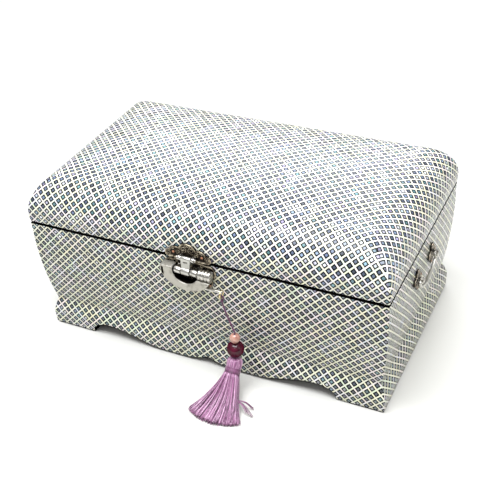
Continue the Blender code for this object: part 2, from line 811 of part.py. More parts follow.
def crescent_outline():
    """The padlock's body seen from the front, as (x, z) points about the rod's axis."""
    centre_x, centre_z = lock_outer_centre
    points = [(-lock_inner_half_width, lock_horn_top), (centre_x - lock_outer_half_width, lock_horn_top)]
    drop = centre_z + lock_shoulder_drop
    end = -math.asin(drop / lock_outer_depth)
    for step in range(lock_steps + 1):
        angle = -math.pi + (end + math.pi) * step / lock_steps
        points.append((centre_x + lock_outer_half_width * math.cos(angle),
                       centre_z + lock_outer_depth * math.sin(angle)))
    start = -math.asin(lock_shoulder_drop / lock_inner_depth)
    for step in range(lock_steps + 1):
        angle = start + (-math.pi - start) * step / lock_steps
        points.append((lock_inner_half_width * math.cos(angle), lock_inner_depth * math.sin(angle)))
    return points


def build_lock():
    front = rod_axis.y - lock_thickness / 2
    back = rod_axis.y + lock_thickness / 2
    outline = [(rod_axis.x + x, rod_axis.z + z) for x, z in crescent_outline()]
    body = add_piece("padlock_body", prism(outline, front, back, "y"), "silver", lock_frame)
    soften(body, lock_bevel)
    bore = bore_radius(rod_radius, running_clearance, small_round_sides)
    drill = [(-lock_outer_half_width - through, bore), (through - lock_inner_half_width, bore)]
    combine(body, turned(drill, rod_axis, (1, 0, 0), small_round_sides), lock_frame)
    key_axis = rod_axis - Vector((0, 0, key_drop))
    far = key_inner_x + lock_outer_half_width
    drill = [(key_inner_x - glue_gap, key_hole_radius), (far, key_hole_radius)]
    combine(body, turned(drill, key_axis, (1, 0, 0), small_round_sides), lock_frame)

    start = -lock_outer_half_width + rod_end_inset
    profile = [(start, rod_radius * web_share), (start + rod_radius / 2, rod_radius),
               (bolt_head_start, rod_radius)]
    pitch = bolt_head_length / bolt_ridges
    for ridge in range(bolt_ridges):
        place = bolt_head_start + pitch * ridge
        profile += [(place, bolt_head_neck), (place + pitch * ridge_share, bolt_head_radius),
                    (place + pitch * (1 - ridge_share), bolt_head_radius)]
    profile.append((bolt_head_start + bolt_head_length, bolt_head_neck))
    add_piece("padlock_bolt", turned(profile, rod_axis, (1, 0, 0), small_round_sides), "silver", bolt_frame,
              smooth_angle=sharp_angle)

    profile = [(key_inner_x, key_radius * web_share), (key_inner_x + key_radius / 2, key_radius),
               (key_outer_x - key_radius / 2, key_radius), (key_outer_x, key_radius * web_share)]
    key = add_piece("padlock_key", turned(profile, key_axis, (1, 0, 0), wire_sides), "brass", key_frame,
                    smooth_angle=sharp_angle)
    combine(key, wire_ring(ring_centre, key_ring_radius, key_ring_wire), key_frame, "UNION")


def wire_ring(centre, radius, wire):
    """A ring of round wire standing in the YZ plane."""
    rings = []
    for turn in range(bead_sides):
        angle = math.tau * turn / bead_sides
        out = Vector((0, math.cos(angle), math.sin(angle)))
        ring = []
        for side in range(wire_sides // 2):
            around = math.tau * side / (wire_sides // 2)
            aside = Vector((wire * math.sin(around), 0, 0))
            ring.append(centre + out * (radius + wire * math.cos(around)) + aside)
        rings.append(ring)
    return loft(rings, closed=True)


def smooth_route(points, steps):
    """A Catmull-Rom curve through the points, as many steps to each span."""
    ends = [points[0] * 2 - points[1]] + points + [points[-1] * 2 - points[-2]]
    route = []
    for index in range(len(points) - 1):
        before, start, end, after = ends[index:index + 4]
        for step in range(steps):
            share = step / steps
            route.append((start * 2 + (end - before) * share
                          + (before * 2 - start * 5 + end * 4 - after) * share ** 2
                          + (start * 3 - before - end * 3 + after) * share ** 3) / 2)
    route.append(points[-1])
    return route


def tube(name, route, radius, material, frame, swells=None):
    """A round wire or cord along a route in the box's coordinates, thicker where swells says."""
    curve = bpy.data.curves.new(name, "CURVE")
    curve.dimensions = "3D"
    curve.bevel_depth = radius
    curve.bevel_resolution = tube_resolution
    curve.use_fill_caps = True
    spline = curve.splines.new("POLY")
    spline.points.add(len(route) - 1)
    for point, place in zip(spline.points, route):
        point.co = (*(place - pivots[frame.name]), 1.0)
    for index, swell in (swells or {}).items():
        spline.points[index].radius = swell
    curve.materials.append(materials[material])
    piece = bpy.data.objects.new(name, curve)
    bpy.context.collection.objects.link(piece)
    piece.parent = frame
    return piece


def leaf_outline(centre_y, centre_z):
    points = []
    for step in range(plate_outline_steps):
        angle = math.tau * step / plate_outline_steps
        reach = (1 + leaf_wave_share * math.cos(leaf_points * angle)) / (1 + leaf_wave_share)
        points.append((centre_y + leaf_half_width * reach * math.cos(angle),
                       centre_z + leaf_half_height * reach * math.sin(angle)))
    return points


def build_handles():
    bore = bore_radius(bail_radius, running_clearance, small_round_sides)
    for side, sign, frame in (("left", -1, left_bail_frame), ("right", 1, right_bail_frame)):
        wall = sign * case_half_length
        for name, place in (("front", -1), ("back", 1)):
            centre_y = handle_y + place * eye_spacing / 2
            near = wall + sign * plate_gap
            far = near + sign * plate_thickness
            leaf = prism(leaf_outline(centre_y, handle_height), min(near, far), max(near, far), "x")
            plate = add_piece(f"{side}_eyeplate_{name}", leaf, "silver", case_frame)
            root = plate_gap + plate_thickness / 2
            outline_eye = lug_outline(eye_off, root, eye_radius, eye_web_height / 2, handle_height)
            outline = [(sign * (case_half_length - case_half_depth - y), z) for y, z in outline_eye]
            eye = prism(outline, centre_y - eye_length / 2, centre_y + eye_length / 2, "y")
            combine(plate, eye, case_frame, "UNION")
            drill = [(-eye_length, bore), (eye_length, bore)]
            combine(plate, turned(drill, (wall + sign * eye_off, centre_y, handle_height), (0, 1, 0),
                                  small_round_sides), case_frame)
        inner = eye_spacing / 2 - eye_length / 2 - bail_pin_past
        outer = eye_spacing / 2 + bail_shoulder
        path = [(inner, 0)]
        for step in range(bend_steps + 1):
            angle = math.pi / 2 * step / bend_steps
            aside = outer - bail_bend_radius * (1 - math.sin(angle))
            path.append((aside, -bail_bend_radius * (1 - math.cos(angle))))
        half_bow = bail_bow_steps // 2
        for step in range(1, half_bow + 1):
            angle = math.pi / 2 * step / half_bow
            dip = (bail_drop - bail_bend_radius) * math.sin(angle) ** bail_bow_power
            path.append((outer * math.cos(angle), -bail_bend_radius - dip))
        path += [(-y, z) for y, z in reversed(path[:-1])]
        route = [Vector((wall + sign * eye_off, handle_y + y, handle_height + z)) for y, z in path]
        tube(side + "_bail", route, bail_radius, "silver", frame)


def build_tassel():
    pearl = ring_place + Vector(pearl_place)
    bead = ring_place + Vector(bead_place)
    down = (bead - pearl).normalized()
    bore = cord_radius + glue_gap
    for name, radius, centre, material in (("pearl_bead", pearl_radius, pearl, "pearl"),
                                           ("garnet_bead", bead_radius, bead, "garnet")):
        profile = ball_profile(radius, bead_end_radius, bead_rings)
        add_piece(name, turned_with_bore(profile, bore, centre, down, bead_sides), material, tassel_frame,
                  smooth_angle=sharp_angle)
    top_way = lean_way(tassel_top_lean)
    band_way = lean_way(tassel_band_lean)
    head_top = bead + top_way * (bead_radius + cord_gap)
    turn = tassel_band_lean - tassel_top_lean
    wide = Vector((1, 0, 0))
    rings = []
    for along, out in head_shares:
        lean = tassel_top_lean + turn * along
        forward = (math.cos(lean) - math.cos(tassel_top_lean)) * head_length / turn
        fall = (math.sin(lean) - math.sin(tassel_top_lean)) * head_length / turn
        centre = head_top + Vector((0, forward, -fall))
        thick = lean_way(lean).cross(wide)
        rings.append([centre + (wide * math.cos(math.tau * side / bead_sides)
                                + thick * math.sin(math.tau * side / bead_sides)) * head_radius * out
                      for side in range(bead_sides)])
    add_piece("tassel_head", loft(rings), "silk", tassel_frame, smooth_angle=sharp_angle)
    band_top = centre + band_way * cord_gap
    edge = band_length * band_edge_share
    profile = [(0, band_radius - edge), (edge, band_radius), (band_length - edge, band_radius),
               (band_length, band_radius - edge)]
    add_piece("tassel_band", turned(profile, band_top, band_way, bead_sides), "silk_band", tassel_frame,
              smooth_angle=sharp_angle)
    add_piece("tassel_skirt", skirt_shape(band_top + band_way * (band_length + cord_gap), band_way), "silk",
              tassel_frame, smooth_angle=sharp_angle)

    wire = ring_place + Vector((0, 0, key_ring_wire))
    route = []
    for step in range(cord_loop_steps + 1):
        angle = cord_loop_start + (cord_loop_end - cord_loop_start) * step / cord_loop_steps
        route.append(wire + Vector((math.sin(angle), 0, -math.cos(angle))) * cord_loop_radius)
    swells = {len(route) + index: swell for index, (drop, swell) in enumerate(cord_knot)}
    route += [wire + Vector((0, 0, drop)) for drop, swell in cord_knot]
    below = [route[-1]] + [ring_place + Vector(point) for point in cord_route]
    route += smooth_route(below + [pearl - down * pearl_radius * cord_entry_share], cord_steps)[1:]
    route += [pearl - down * pearl_radius, bead + down * bead_radius]
    tube("tassel_cord", route, cord_radius, "silk_cord", tassel_frame, swells)


def lean_way(angle):
    return Vector((0, -math.sin(angle), -math.cos(angle)))


def skirt_shape(start, lean):
    """The tassel's threads: a fluted fan that leaves the band and settles on the table."""
    end = Vector((start.x + skirt_drift, start.y - skirt_reach, skirt_half_thickness + skirt_rest))
    handle = skirt_reach * skirt_handle_share
    handle_one = start + lean * handle
    handle_two = end + Vector((0, handle, 0))
    rings = []
    for index in range(skirt_rings + 1):
        share = index / skirt_rings
        left = 1 - share
        centre = (start * left ** 3 + handle_one * 3 * left ** 2 * share
                  + handle_two * 3 * left * share ** 2 + end * share ** 3)
        tangent = ((handle_one - start) * left ** 2 + (handle_two - handle_one) * 2 * left * share
                   + (end - handle_two) * share ** 2).normalized()
        wide = Vector((1, 0, 0))
        wide = (wide - tangent * wide.dot(tangent)).normalized()
        thick = tangent.cross(wide)
        half_wide = skirt_top_radius + (skirt_half_width - skirt_top_radius) * share
        half_thick = skirt_top_radius + (skirt_half_thickness - skirt_top_radius) * share
        ring = []
        for side in range(skirt_points):
            angle = math.tau * side / skirt_points
            flute = 1 + skirt_flute_share * share * math.cos(skirt_flutes * angle)
            aside = half_wide * math.cos(angle) * flute
            back = aside ** 2 / (2 * skirt_arc_radius) * share
            point = centre + wide * aside + thick * half_thick * math.sin(angle) * flute - tangent * back
            point.z = max(point.z, 0)
            ring.append(point)
        rings.append(ring)
    return loft(rings)


def build_tray():
    low, high = tray_base, tray_top_height
    section = [(0, low), (0, high - tray_edge_round), (tray_edge_round, high),
               (tray_wall - tray_edge_round, high), (tray_wall, high - tray_edge_round), (tray_wall, low)]
    frame = add_piece("tray_frame", frame_loop(tray_half_x, tray_half_y, section), "velvet", tray_frame)
    for sign in (-1, 1):
        middle = (sign * (tray_half_x - tray_wall / 2), 0, high + tray_notch_radius - tray_notch_depth)
        drill = [(-tray_wall, tray_notch_radius), (tray_wall, tray_notch_radius)]
        combine(frame, turned(drill, middle, (1, 0, 0), bead_sides), tray_frame)
    half_x = tray_half_x - tray_wall - glue_gap
    half_y = tray_half_y - tray_wall - glue_gap
    floor_high = low + tray_floor_thickness
    add_piece("tray_floor", block((-half_x, -half_y, low), (half_x, half_y, floor_high)), "velvet",
              tray_frame)
    base = floor_high + glue_gap
    top = base + tray_divider_height
    thick = tray_divider_thickness / 2
    divider = add_piece("tray_divider", block((-half_x, tray_divider_y - thick, base),
                                              (half_x, tray_divider_y + thick, top)), "velvet", tray_frame)
    for place in (-tray_cross_x, tray_cross_x):
        cross = block((place - thick, -half_y, base), (place + thick, tray_divider_y, top))
        combine(divider, cross, tray_frame, "UNION")
    back = tray_divider_y + thick + glue_gap
    pitch = (half_y - back + glue_gap) / ring_roll_count
    radius = (pitch - glue_gap) / 2
    for index in range(ring_roll_count):
        middle = back + pitch * index + radius
        outline = [(middle - radius, base), (middle + radius, base)]
        for step in range(ring_roll_top_steps + 1):
            angle = math.pi * step / ring_roll_top_steps
            outline.append((middle + radius * math.cos(angle),
                            base + ring_roll_rise - radius + radius * math.sin(angle)))
        add_piece(f"ring_roll_{index + 1}", prism(outline, -half_x, half_x, "x"), "ring_velvet", tray_frame)


clear_scene()
pivots = {}
materials = {
    "lacquer": make_material("pearl_lacquer", (0.42, 0.43, 0.42), 0.18),
    "bare_wood": make_material("bare_wood", (0.36, 0.24, 0.15), 0.70),
    "felt": make_material("black_felt", (0.02, 0.02, 0.02), 0.95),
    "velvet": make_material("wine_velvet", (0.20, 0.02, 0.05), 0.90),
    "ring_velvet": make_material("ring_velvet", (0.24, 0.03, 0.07), 0.90),
    "mirror": make_material("mirror_glass", (0.90, 0.92, 0.92), 0.03, 1.0),
    "silver": make_material("aged_nickel", (0.62, 0.60, 0.56), 0.32, 1.0),
    "brass": make_material("pale_brass", (0.66, 0.56, 0.36), 0.30, 1.0),
    "silk": make_material("lilac_silk", (0.50, 0.20, 0.42), 0.45),
    "silk_band": make_material("lilac_binding", (0.36, 0.14, 0.30), 0.50),
    "silk_cord": make_material("plum_cord", (0.30, 0.09, 0.26), 0.55),
    "pearl": make_material("peach_pearl", (0.82, 0.62, 0.52), 0.20),
    "garnet": make_material("garnet_glass", (0.14, 0.01, 0.05), 0.08),
    "helper": make_material("helper", (0.5, 0.5, 0.5), 0.50),
}

case_frame = joint_frame("case_frame", (0, 0, 0))
lid_frame = joint_frame("lid_frame", (0, hinge_axis_y, hinge_axis_z), case_frame)
hasp_frame = joint_frame("hasp_frame", hasp_axis, lid_frame)
lock_frame = joint_frame("lock_frame", rod_axis, case_frame)
bolt_frame = joint_frame("bolt_frame", rod_axis, lock_frame)
key_frame = joint_frame("key_frame", rod_axis - Vector((0, 0, key_drop)), lock_frame)
tassel_frame = joint_frame("tassel_frame", ring_centre, key_frame)
bail_off = case_half_length + eye_off
right_bail_frame = joint_frame("right_bail_frame", (bail_off, handle_y, handle_height), case_frame)
left_bail_frame = joint_frame("left_bail_frame", (-bail_off, handle_y, handle_height), case_frame)
tray_frame = joint_frame("tray_lift_frame", (0, 0, tray_middle_height), case_frame)

build_case()
build_feet()
build_lid()
build_hinges()
build_clasp_plates()
build_hasp()
build_lock()
build_handles()
build_tassel()
build_tray()
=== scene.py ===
import json
import math
import random

import bmesh
import bpy
from mathutils import Matrix, Vector, noise
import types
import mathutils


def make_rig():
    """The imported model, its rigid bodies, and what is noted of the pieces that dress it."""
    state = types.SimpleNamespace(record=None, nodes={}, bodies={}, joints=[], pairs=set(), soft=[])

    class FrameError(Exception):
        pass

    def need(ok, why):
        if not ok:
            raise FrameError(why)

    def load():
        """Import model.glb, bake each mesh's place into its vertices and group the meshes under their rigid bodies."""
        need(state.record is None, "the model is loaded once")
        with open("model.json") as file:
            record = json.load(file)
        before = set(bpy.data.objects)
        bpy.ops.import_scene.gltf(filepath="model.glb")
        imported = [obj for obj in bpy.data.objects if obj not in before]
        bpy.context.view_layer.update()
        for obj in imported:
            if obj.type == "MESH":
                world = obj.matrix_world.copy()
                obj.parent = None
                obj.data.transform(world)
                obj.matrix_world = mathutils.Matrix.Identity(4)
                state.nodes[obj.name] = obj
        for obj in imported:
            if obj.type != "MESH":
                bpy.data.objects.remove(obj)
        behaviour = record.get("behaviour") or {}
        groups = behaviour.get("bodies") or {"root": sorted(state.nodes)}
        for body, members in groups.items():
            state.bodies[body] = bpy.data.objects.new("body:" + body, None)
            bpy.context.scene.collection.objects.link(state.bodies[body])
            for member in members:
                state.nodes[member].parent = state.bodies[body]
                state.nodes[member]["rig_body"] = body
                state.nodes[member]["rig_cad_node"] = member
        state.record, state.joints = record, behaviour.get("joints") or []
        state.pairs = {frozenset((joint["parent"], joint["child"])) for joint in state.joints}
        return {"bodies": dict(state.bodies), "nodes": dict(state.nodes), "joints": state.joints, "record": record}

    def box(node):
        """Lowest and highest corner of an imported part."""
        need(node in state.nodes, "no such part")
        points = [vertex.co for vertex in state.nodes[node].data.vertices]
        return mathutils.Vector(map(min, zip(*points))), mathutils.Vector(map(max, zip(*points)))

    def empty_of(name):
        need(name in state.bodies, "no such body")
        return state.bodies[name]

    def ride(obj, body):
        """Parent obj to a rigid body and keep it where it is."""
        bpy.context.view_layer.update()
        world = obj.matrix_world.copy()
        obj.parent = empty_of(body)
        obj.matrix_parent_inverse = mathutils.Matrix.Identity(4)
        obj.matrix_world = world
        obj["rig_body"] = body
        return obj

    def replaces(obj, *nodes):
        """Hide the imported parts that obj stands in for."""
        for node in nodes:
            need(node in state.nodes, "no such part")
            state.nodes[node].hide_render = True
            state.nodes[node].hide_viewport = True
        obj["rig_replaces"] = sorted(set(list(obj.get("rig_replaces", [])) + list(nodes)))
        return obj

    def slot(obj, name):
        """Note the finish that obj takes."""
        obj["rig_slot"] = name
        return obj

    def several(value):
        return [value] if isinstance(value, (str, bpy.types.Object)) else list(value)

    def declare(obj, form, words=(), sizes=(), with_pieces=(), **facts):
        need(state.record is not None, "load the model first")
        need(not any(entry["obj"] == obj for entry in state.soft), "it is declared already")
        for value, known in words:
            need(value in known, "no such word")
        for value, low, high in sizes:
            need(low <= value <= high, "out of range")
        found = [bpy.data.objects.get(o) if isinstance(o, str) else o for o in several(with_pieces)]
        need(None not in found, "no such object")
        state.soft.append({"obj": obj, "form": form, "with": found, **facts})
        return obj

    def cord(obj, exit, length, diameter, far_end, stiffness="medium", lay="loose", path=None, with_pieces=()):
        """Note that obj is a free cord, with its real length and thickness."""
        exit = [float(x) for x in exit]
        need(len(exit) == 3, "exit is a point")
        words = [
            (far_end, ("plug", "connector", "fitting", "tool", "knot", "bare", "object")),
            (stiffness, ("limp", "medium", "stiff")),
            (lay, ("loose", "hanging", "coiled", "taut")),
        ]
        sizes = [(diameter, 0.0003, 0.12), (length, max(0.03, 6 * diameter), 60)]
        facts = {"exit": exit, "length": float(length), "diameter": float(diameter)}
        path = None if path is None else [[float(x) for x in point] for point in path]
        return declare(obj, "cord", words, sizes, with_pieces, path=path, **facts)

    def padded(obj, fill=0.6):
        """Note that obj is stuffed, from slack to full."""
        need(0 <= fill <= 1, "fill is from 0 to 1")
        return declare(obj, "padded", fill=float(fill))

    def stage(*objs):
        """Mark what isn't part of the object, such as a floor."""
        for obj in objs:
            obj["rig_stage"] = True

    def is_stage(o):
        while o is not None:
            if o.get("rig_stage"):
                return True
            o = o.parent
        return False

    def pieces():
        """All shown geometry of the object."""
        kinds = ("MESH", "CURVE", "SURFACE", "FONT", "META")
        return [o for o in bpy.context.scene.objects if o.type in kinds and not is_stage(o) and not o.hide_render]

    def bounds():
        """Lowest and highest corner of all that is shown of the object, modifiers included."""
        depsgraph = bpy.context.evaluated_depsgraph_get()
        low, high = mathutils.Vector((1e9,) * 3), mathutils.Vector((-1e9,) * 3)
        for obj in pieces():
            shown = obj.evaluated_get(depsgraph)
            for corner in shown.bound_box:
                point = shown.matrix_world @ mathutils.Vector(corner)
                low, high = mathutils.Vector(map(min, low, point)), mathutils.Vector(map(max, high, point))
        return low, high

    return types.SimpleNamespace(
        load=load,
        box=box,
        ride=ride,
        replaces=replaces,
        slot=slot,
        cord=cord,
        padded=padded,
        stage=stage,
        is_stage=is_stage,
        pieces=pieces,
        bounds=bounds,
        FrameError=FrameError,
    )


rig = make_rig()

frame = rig.load()
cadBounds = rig.bounds()
nodes = frame["nodes"]
scene = bpy.context.scene
frontRim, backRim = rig.box("front_wall"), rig.box("back_wall")
halfX = 0.140
halfY = (backRim[1].y - frontRim[0].y) / 2
caseY = (frontRim[0].y + backRim[1].y) / 2      # the box's middle, which the padlock shifts off Y = 0
rimZ = frontRim[1].z
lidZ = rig.box("lid_shell")[0].z
print("frame loaded")


# Small tools for meshes
def place(x, y, z):
    # a point given from the box's own middle
    return Vector((x, y + caseY, z))


def evenly(reach, steps):
    # values at even steps from 0 to reach
    return [reach * step / steps for step in range(steps + 1)]


def clamp(value):
    return min(max(value, 0), 1)


def addObject(name, data):
    thing = bpy.data.objects.new(name, data)
    scene.collection.objects.link(thing)
    return thing


def toMesh(name, shape):
    mesh = bpy.data.meshes.new(name)
    shape.to_mesh(mesh)
    shape.free()
    return mesh


def tidyNormals(shape):
    bmesh.ops.recalc_face_normals(shape, faces=shape.faces)


def merge(shape, distance):
    bmesh.ops.remove_doubles(shape, verts=shape.verts, dist=distance)


def openEdges(shape):
    return [edge for edge in shape.edges if edge.is_boundary]


def fillHoles(shape):
    bmesh.ops.holes_fill(shape, edges=openEdges(shape), sides=0)


def onlyVerts(items):
    return [item for item in items if isinstance(item, bmesh.types.BMVert)]


def drawOut(shape, edges):
    # extrudes edges and gives the new points
    return onlyVerts(bmesh.ops.extrude_edge_only(shape, edges=edges)["geom"])


def finish(name, shape, body, materials, sharp=None, replaced=None, slot=None, outward=True):
    # outward is off for a shape whose normals are set already
    if outward:
        tidyNormals(shape)
    mesh = toMesh(name, shape)
    for material in materials:
        mesh.materials.append(material)
    mesh.shade_smooth()
    if sharp:
        mesh.set_sharp_from_angle(angle=math.radians(sharp))
    piece = addObject(name, mesh)
    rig.ride(piece, body)
    if replaced:
        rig.replaces(piece, replaced)
    slot = slot or slots.get(materials[0])
    if slot:
        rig.slot(piece, slot)
    return piece


def skin(shape, columns, rows, spot, closed=False, uvSpot=None, material=0):
    # a grid whose point (column, row) goes to spot(column, row); closed joins its last column to its first
    fresh = bmesh.ops.create_grid(shape, x_segments=columns, y_segments=rows, size=0.5)["verts"]
    index = {vert: (round((vert.co.x + 0.5) * columns), round((vert.co.y + 0.5) * rows)) for vert in fresh}
    layer = shape.loops.layers.uv.verify() if uvSpot else None
    for face in {face for vert in fresh for face in vert.link_faces}:
        face.material_index = material
        face.smooth = True
        if uvSpot:
            middle = sum(index[vert][0] for vert in face.verts) / len(face.verts)
            for loop in face.loops:
                loop[layer].uv = uvSpot(*index[loop.vert], middle)
    for vert in fresh:
        vert.co = spot(*index[vert])
    if closed:
        ends = [vert for vert in fresh if index[vert][0] in (0, columns)]
        bmesh.ops.remove_doubles(shape, verts=ends, dist=1e-7)
    return [vert for vert in fresh if vert.is_valid]


def tube(shape, path, radius, sides, ends=True, material=0, twist=0.0, lobes=0, depth=0.0):
    # a round, tapered or twisted section swept along a path
    count = len(path) - 1
    radii = radius if isinstance(radius, list) else [radius] * len(path)
    frames = []
    ahead = (path[1] - path[0]).normalized()
    side = ahead.orthogonal().normalized()
    for step, point in enumerate(path):
        nearby = path[min(step + 1, count)] - path[max(step - 1, 0)]
        ahead = nearby.normalized() if nearby.length > 1e-9 else ahead
        side = (side - ahead * side.dot(ahead)).normalized()
        frames.append((point, side, ahead.cross(side)))

    def spot(column, row):
        angle = math.tau * column / sides
        point, across, other = frames[row]
        reach = radii[row] * (1 + depth * math.cos(lobes * (angle - twist * row)) if lobes else 1)
        return point + across * math.cos(angle) * reach + other * math.sin(angle) * reach

    fresh = skin(shape, sides, count, spot, closed=True, material=material)
    if ends:
        rims = list({edge for vert in fresh for edge in vert.link_edges if edge.is_boundary})
        for face in bmesh.ops.holes_fill(shape, edges=rims, sides=sides)["faces"]:
            face.material_index = material
    return fresh


def spun(shape, profile, centre, axis, steps):
    # a profile of (distance along, radius) pairs, spun about an axis
    axis = Vector(axis).normalized()
    side = axis.orthogonal().normalized()
    verts = [shape.verts.new(centre + axis * along + side * radius) for along, radius in profile]
    edges = [shape.edges.new(pair) for pair in zip(verts, verts[1:])]
    bmesh.ops.spin(shape, geom=verts + edges, cent=centre, axis=axis, dvec=(0, 0, 0), angle=math.tau,
                   steps=steps, use_merge=True, use_duplicate=False)
    merge(shape, 1e-7)


def addBall(shape, spot, radius, subdivisions, material=0):
    ball = bmesh.ops.create_icosphere(shape, subdivisions=subdivisions, radius=radius)["verts"]
    bmesh.ops.translate(shape, verts=ball, vec=spot)
    for face in {face for vert in ball for face in vert.link_faces}:
        face.material_index = material
        face.smooth = True


def append(shape, part):
    # adds a part to a shape; hundreds of strands are made in batches, which is far quicker
    mesh = toMesh("part", part)
    shape.from_mesh(mesh)
    bpy.data.meshes.remove(mesh)


def boxCutter(low, high):
    tool = bmesh.new()
    made = bmesh.ops.create_cube(tool, size=1.0)["verts"]
    bmesh.ops.scale(tool, verts=made, vec=high - low)
    bmesh.ops.translate(tool, verts=made, vec=(low + high) / 2)
    return tool


def rodCutter(start, end, radius):
    tool = bmesh.new()
    length = (end - start).length
    spun(tool, [(0, 0), (0, radius), (length, radius), (length, 0)], start, end - start, 32)
    return tool


def cutShape(shape, cutters):
    # takes the cutters out of a shape and gives the shape back
    holder = addObject("holder", toMesh("holder", shape))
    helpers = [holder]
    for cutter in cutters:
        tidyNormals(cutter)
        helpers.append(addObject("tool", toMesh("tool", cutter)))
        modifier = holder.modifiers.new("cut", "BOOLEAN")
        modifier.operation = "DIFFERENCE"
        modifier.object = helpers[-1]
        modifier.solver = "EXACT"
    depsgraph = bpy.context.evaluated_depsgraph_get()
    cut = bmesh.new()
    cut.from_mesh(bpy.data.meshes.new_from_object(holder.evaluated_get(depsgraph), depsgraph=depsgraph,
                                                  preserve_all_data_layers=True))
    for item in helpers:
        bpy.data.objects.remove(item, do_unlink=True)
    return cut


def refine(name, body, materials, bevel, segments=2):
    # a merged copy of a CAD node with rounded edges, which replaces it
    shape = bmesh.new()
    shape.from_mesh(nodes[name].data)
    merge(shape, 2e-6)
    bmesh.ops.dissolve_limit(shape, angle_limit=math.radians(1), verts=shape.verts, edges=shape.edges)
    for face in shape.faces:
        face.material_index = 0
    piece = finish(name + "_dressed", shape, body, materials, replaced=name, outward=False)
    rounding = piece.modifiers.new("rounding", "BEVEL")
    rounding.width = bevel
    rounding.segments = segments
    rounding.limit_method = "ANGLE"
    rounding.angle_limit = math.radians(30)
    rounding.harden_normals = True
    return piece


def catmull(points, steps):
    # a smooth route through the points
    ends = [points[0] * 2 - points[1]] + list(points) + [points[-1] * 2 - points[-2]]
    route = []
    for index in range(len(points) - 1):
        before, start, end, after = ends[index:index + 4]
        for step in range(steps):
            share = step / steps
            route.append((start * 2 + (end - before) * share
                          + (before * 2 - start * 5 + end * 4 - after) * share ** 2
                          + (start * 3 - before - end * 3 + after) * share ** 3) / 2)
    return route + [points[-1]]


def routeLength(route):
    return sum((after - before).length for before, after in zip(route, route[1:]))


def arcLengths(profile):
    lengths = [0.0]
    for before, after in zip(profile, profile[1:]):
        lengths.append(lengths[-1] + math.dist(before, after))
    return lengths


# Camera: fitted to the box's corners and the lid's outline in the photo
camera = {"azimuth": 27.793, "elevation": 35.4952, "roll": -4.2546, "distance": 0.72648,
          "target": (0.00081, 0.0026, 0.05344), "lens": 66.892, "sensor": 36, "near": 0.01, "far": 20}


def placeCamera():
    azimuth, elevation, roll = (math.radians(camera[key]) for key in ("azimuth", "elevation", "roll"))
    back = Vector((math.sin(azimuth) * math.cos(elevation), -math.cos(azimuth) * math.cos(elevation),
                   math.sin(elevation)))
    right = (-back).cross(Vector((0, 0, 1))).normalized()
    above = right.cross(-back)
    turn = Matrix((right * math.cos(roll) + above * math.sin(roll),
                   above * math.cos(roll) - right * math.sin(roll), back)).transposed()
    lens = bpy.data.cameras.new("camera")
    lens.lens, lens.sensor_width = camera["lens"], camera["sensor"]
    lens.clip_start, lens.clip_end = camera["near"], camera["far"]
    scene.camera = addObject("camera", lens)
    spot = Vector(camera["target"]) + back * camera["distance"]
    scene.camera.matrix_world = Matrix.Translation(spot) @ turn.to_4x4()


placeCamera()
scene.view_settings.view_transform = "Standard"
print("camera placed")


# Small tools for materials
def newMaterial(name):
    # a material, its node tree and its Object coordinates
    material = bpy.data.materials.new(name)
    material.use_nodes = True
    tree = material.node_tree
    return material, tree, tree.nodes.new("ShaderNodeTexCoord").outputs["Object"]


def feed(tree, value, socket):
    if hasattr(value, "is_output"):
        tree.links.new(value, socket)
    else:
        socket.default_value = (*value, 1.0) if socket.type == "RGBA" else value


def setShader(tree, looks):
    for key, value in looks.items():
        feed(tree, value, tree.nodes["Principled BSDF"].inputs[key])


def addNode(tree, kind, values, **settings):
    # the values go to the sockets in their order, or by number or name from a dictionary
    node = tree.nodes.new("ShaderNode" + kind)
    for key, value in settings.items():
        setattr(node, key, value)
    for key, value in values.items() if isinstance(values, dict) else enumerate(values):
        feed(tree, value, node.inputs[key])
    return node


def calc(tree, operation, *values):
    return addNode(tree, "Math", values, operation=operation).outputs[0]


def vectorCalc(tree, operation, *values):
    return addNode(tree, "VectorMath", values, operation=operation).outputs[0]


def smoothStep(tree, value, low, high):
    return addNode(tree, "MapRange", (value, low, high), interpolation_type="SMOOTHSTEP").outputs[0]


def join(tree, x, y, z):
    return addNode(tree, "CombineXYZ", (x, y, z)).outputs[0]


def mixVector(tree, factor, first, second):
    return addNode(tree, "Mix", {0: factor, 4: first, 5: second}, data_type="VECTOR").outputs[1]


def mixColor(tree, factor, first, second, blend="MIX"):
    return addNode(tree, "Mix", {0: factor, 6: first, 7: second}, data_type="RGBA", blend_type=blend).outputs[2]


def dim(tree, color, light):
    return mixColor(tree, 1.0, color, join(tree, light, light, light), "MULTIPLY")


def ramp(tree, factor, *stops):
    # each stop is its position and its colour
    node = addNode(tree, "ValToRGB", (factor,))
    elements = node.color_ramp.elements
    while len(elements) < len(stops):
        elements.new(0.5)
    for element, (position, *color) in zip(elements, stops):
        element.position = position
        element.color = (*color, 1.0)
    return node.outputs[0]


def twoTone(tree, factor, low, high):
    return ramp(tree, factor, (0.3, *low), (0.7, *high))


def noiseAt(tree, vector, scale, detail=3.0, roughness=0.5, stretch=None):
    if stretch:
        vector = addNode(tree, "Mapping", {"Vector": vector, "Scale": stretch}).outputs[0]
    return addNode(tree, "TexNoise", {"Vector": vector, "Scale": scale, "Detail": detail,
                                      "Roughness": roughness}).outputs[0]


def bump(tree, height, distance):
    return addNode(tree, "Bump", {"Height": height, "Distance": distance}).outputs[0]


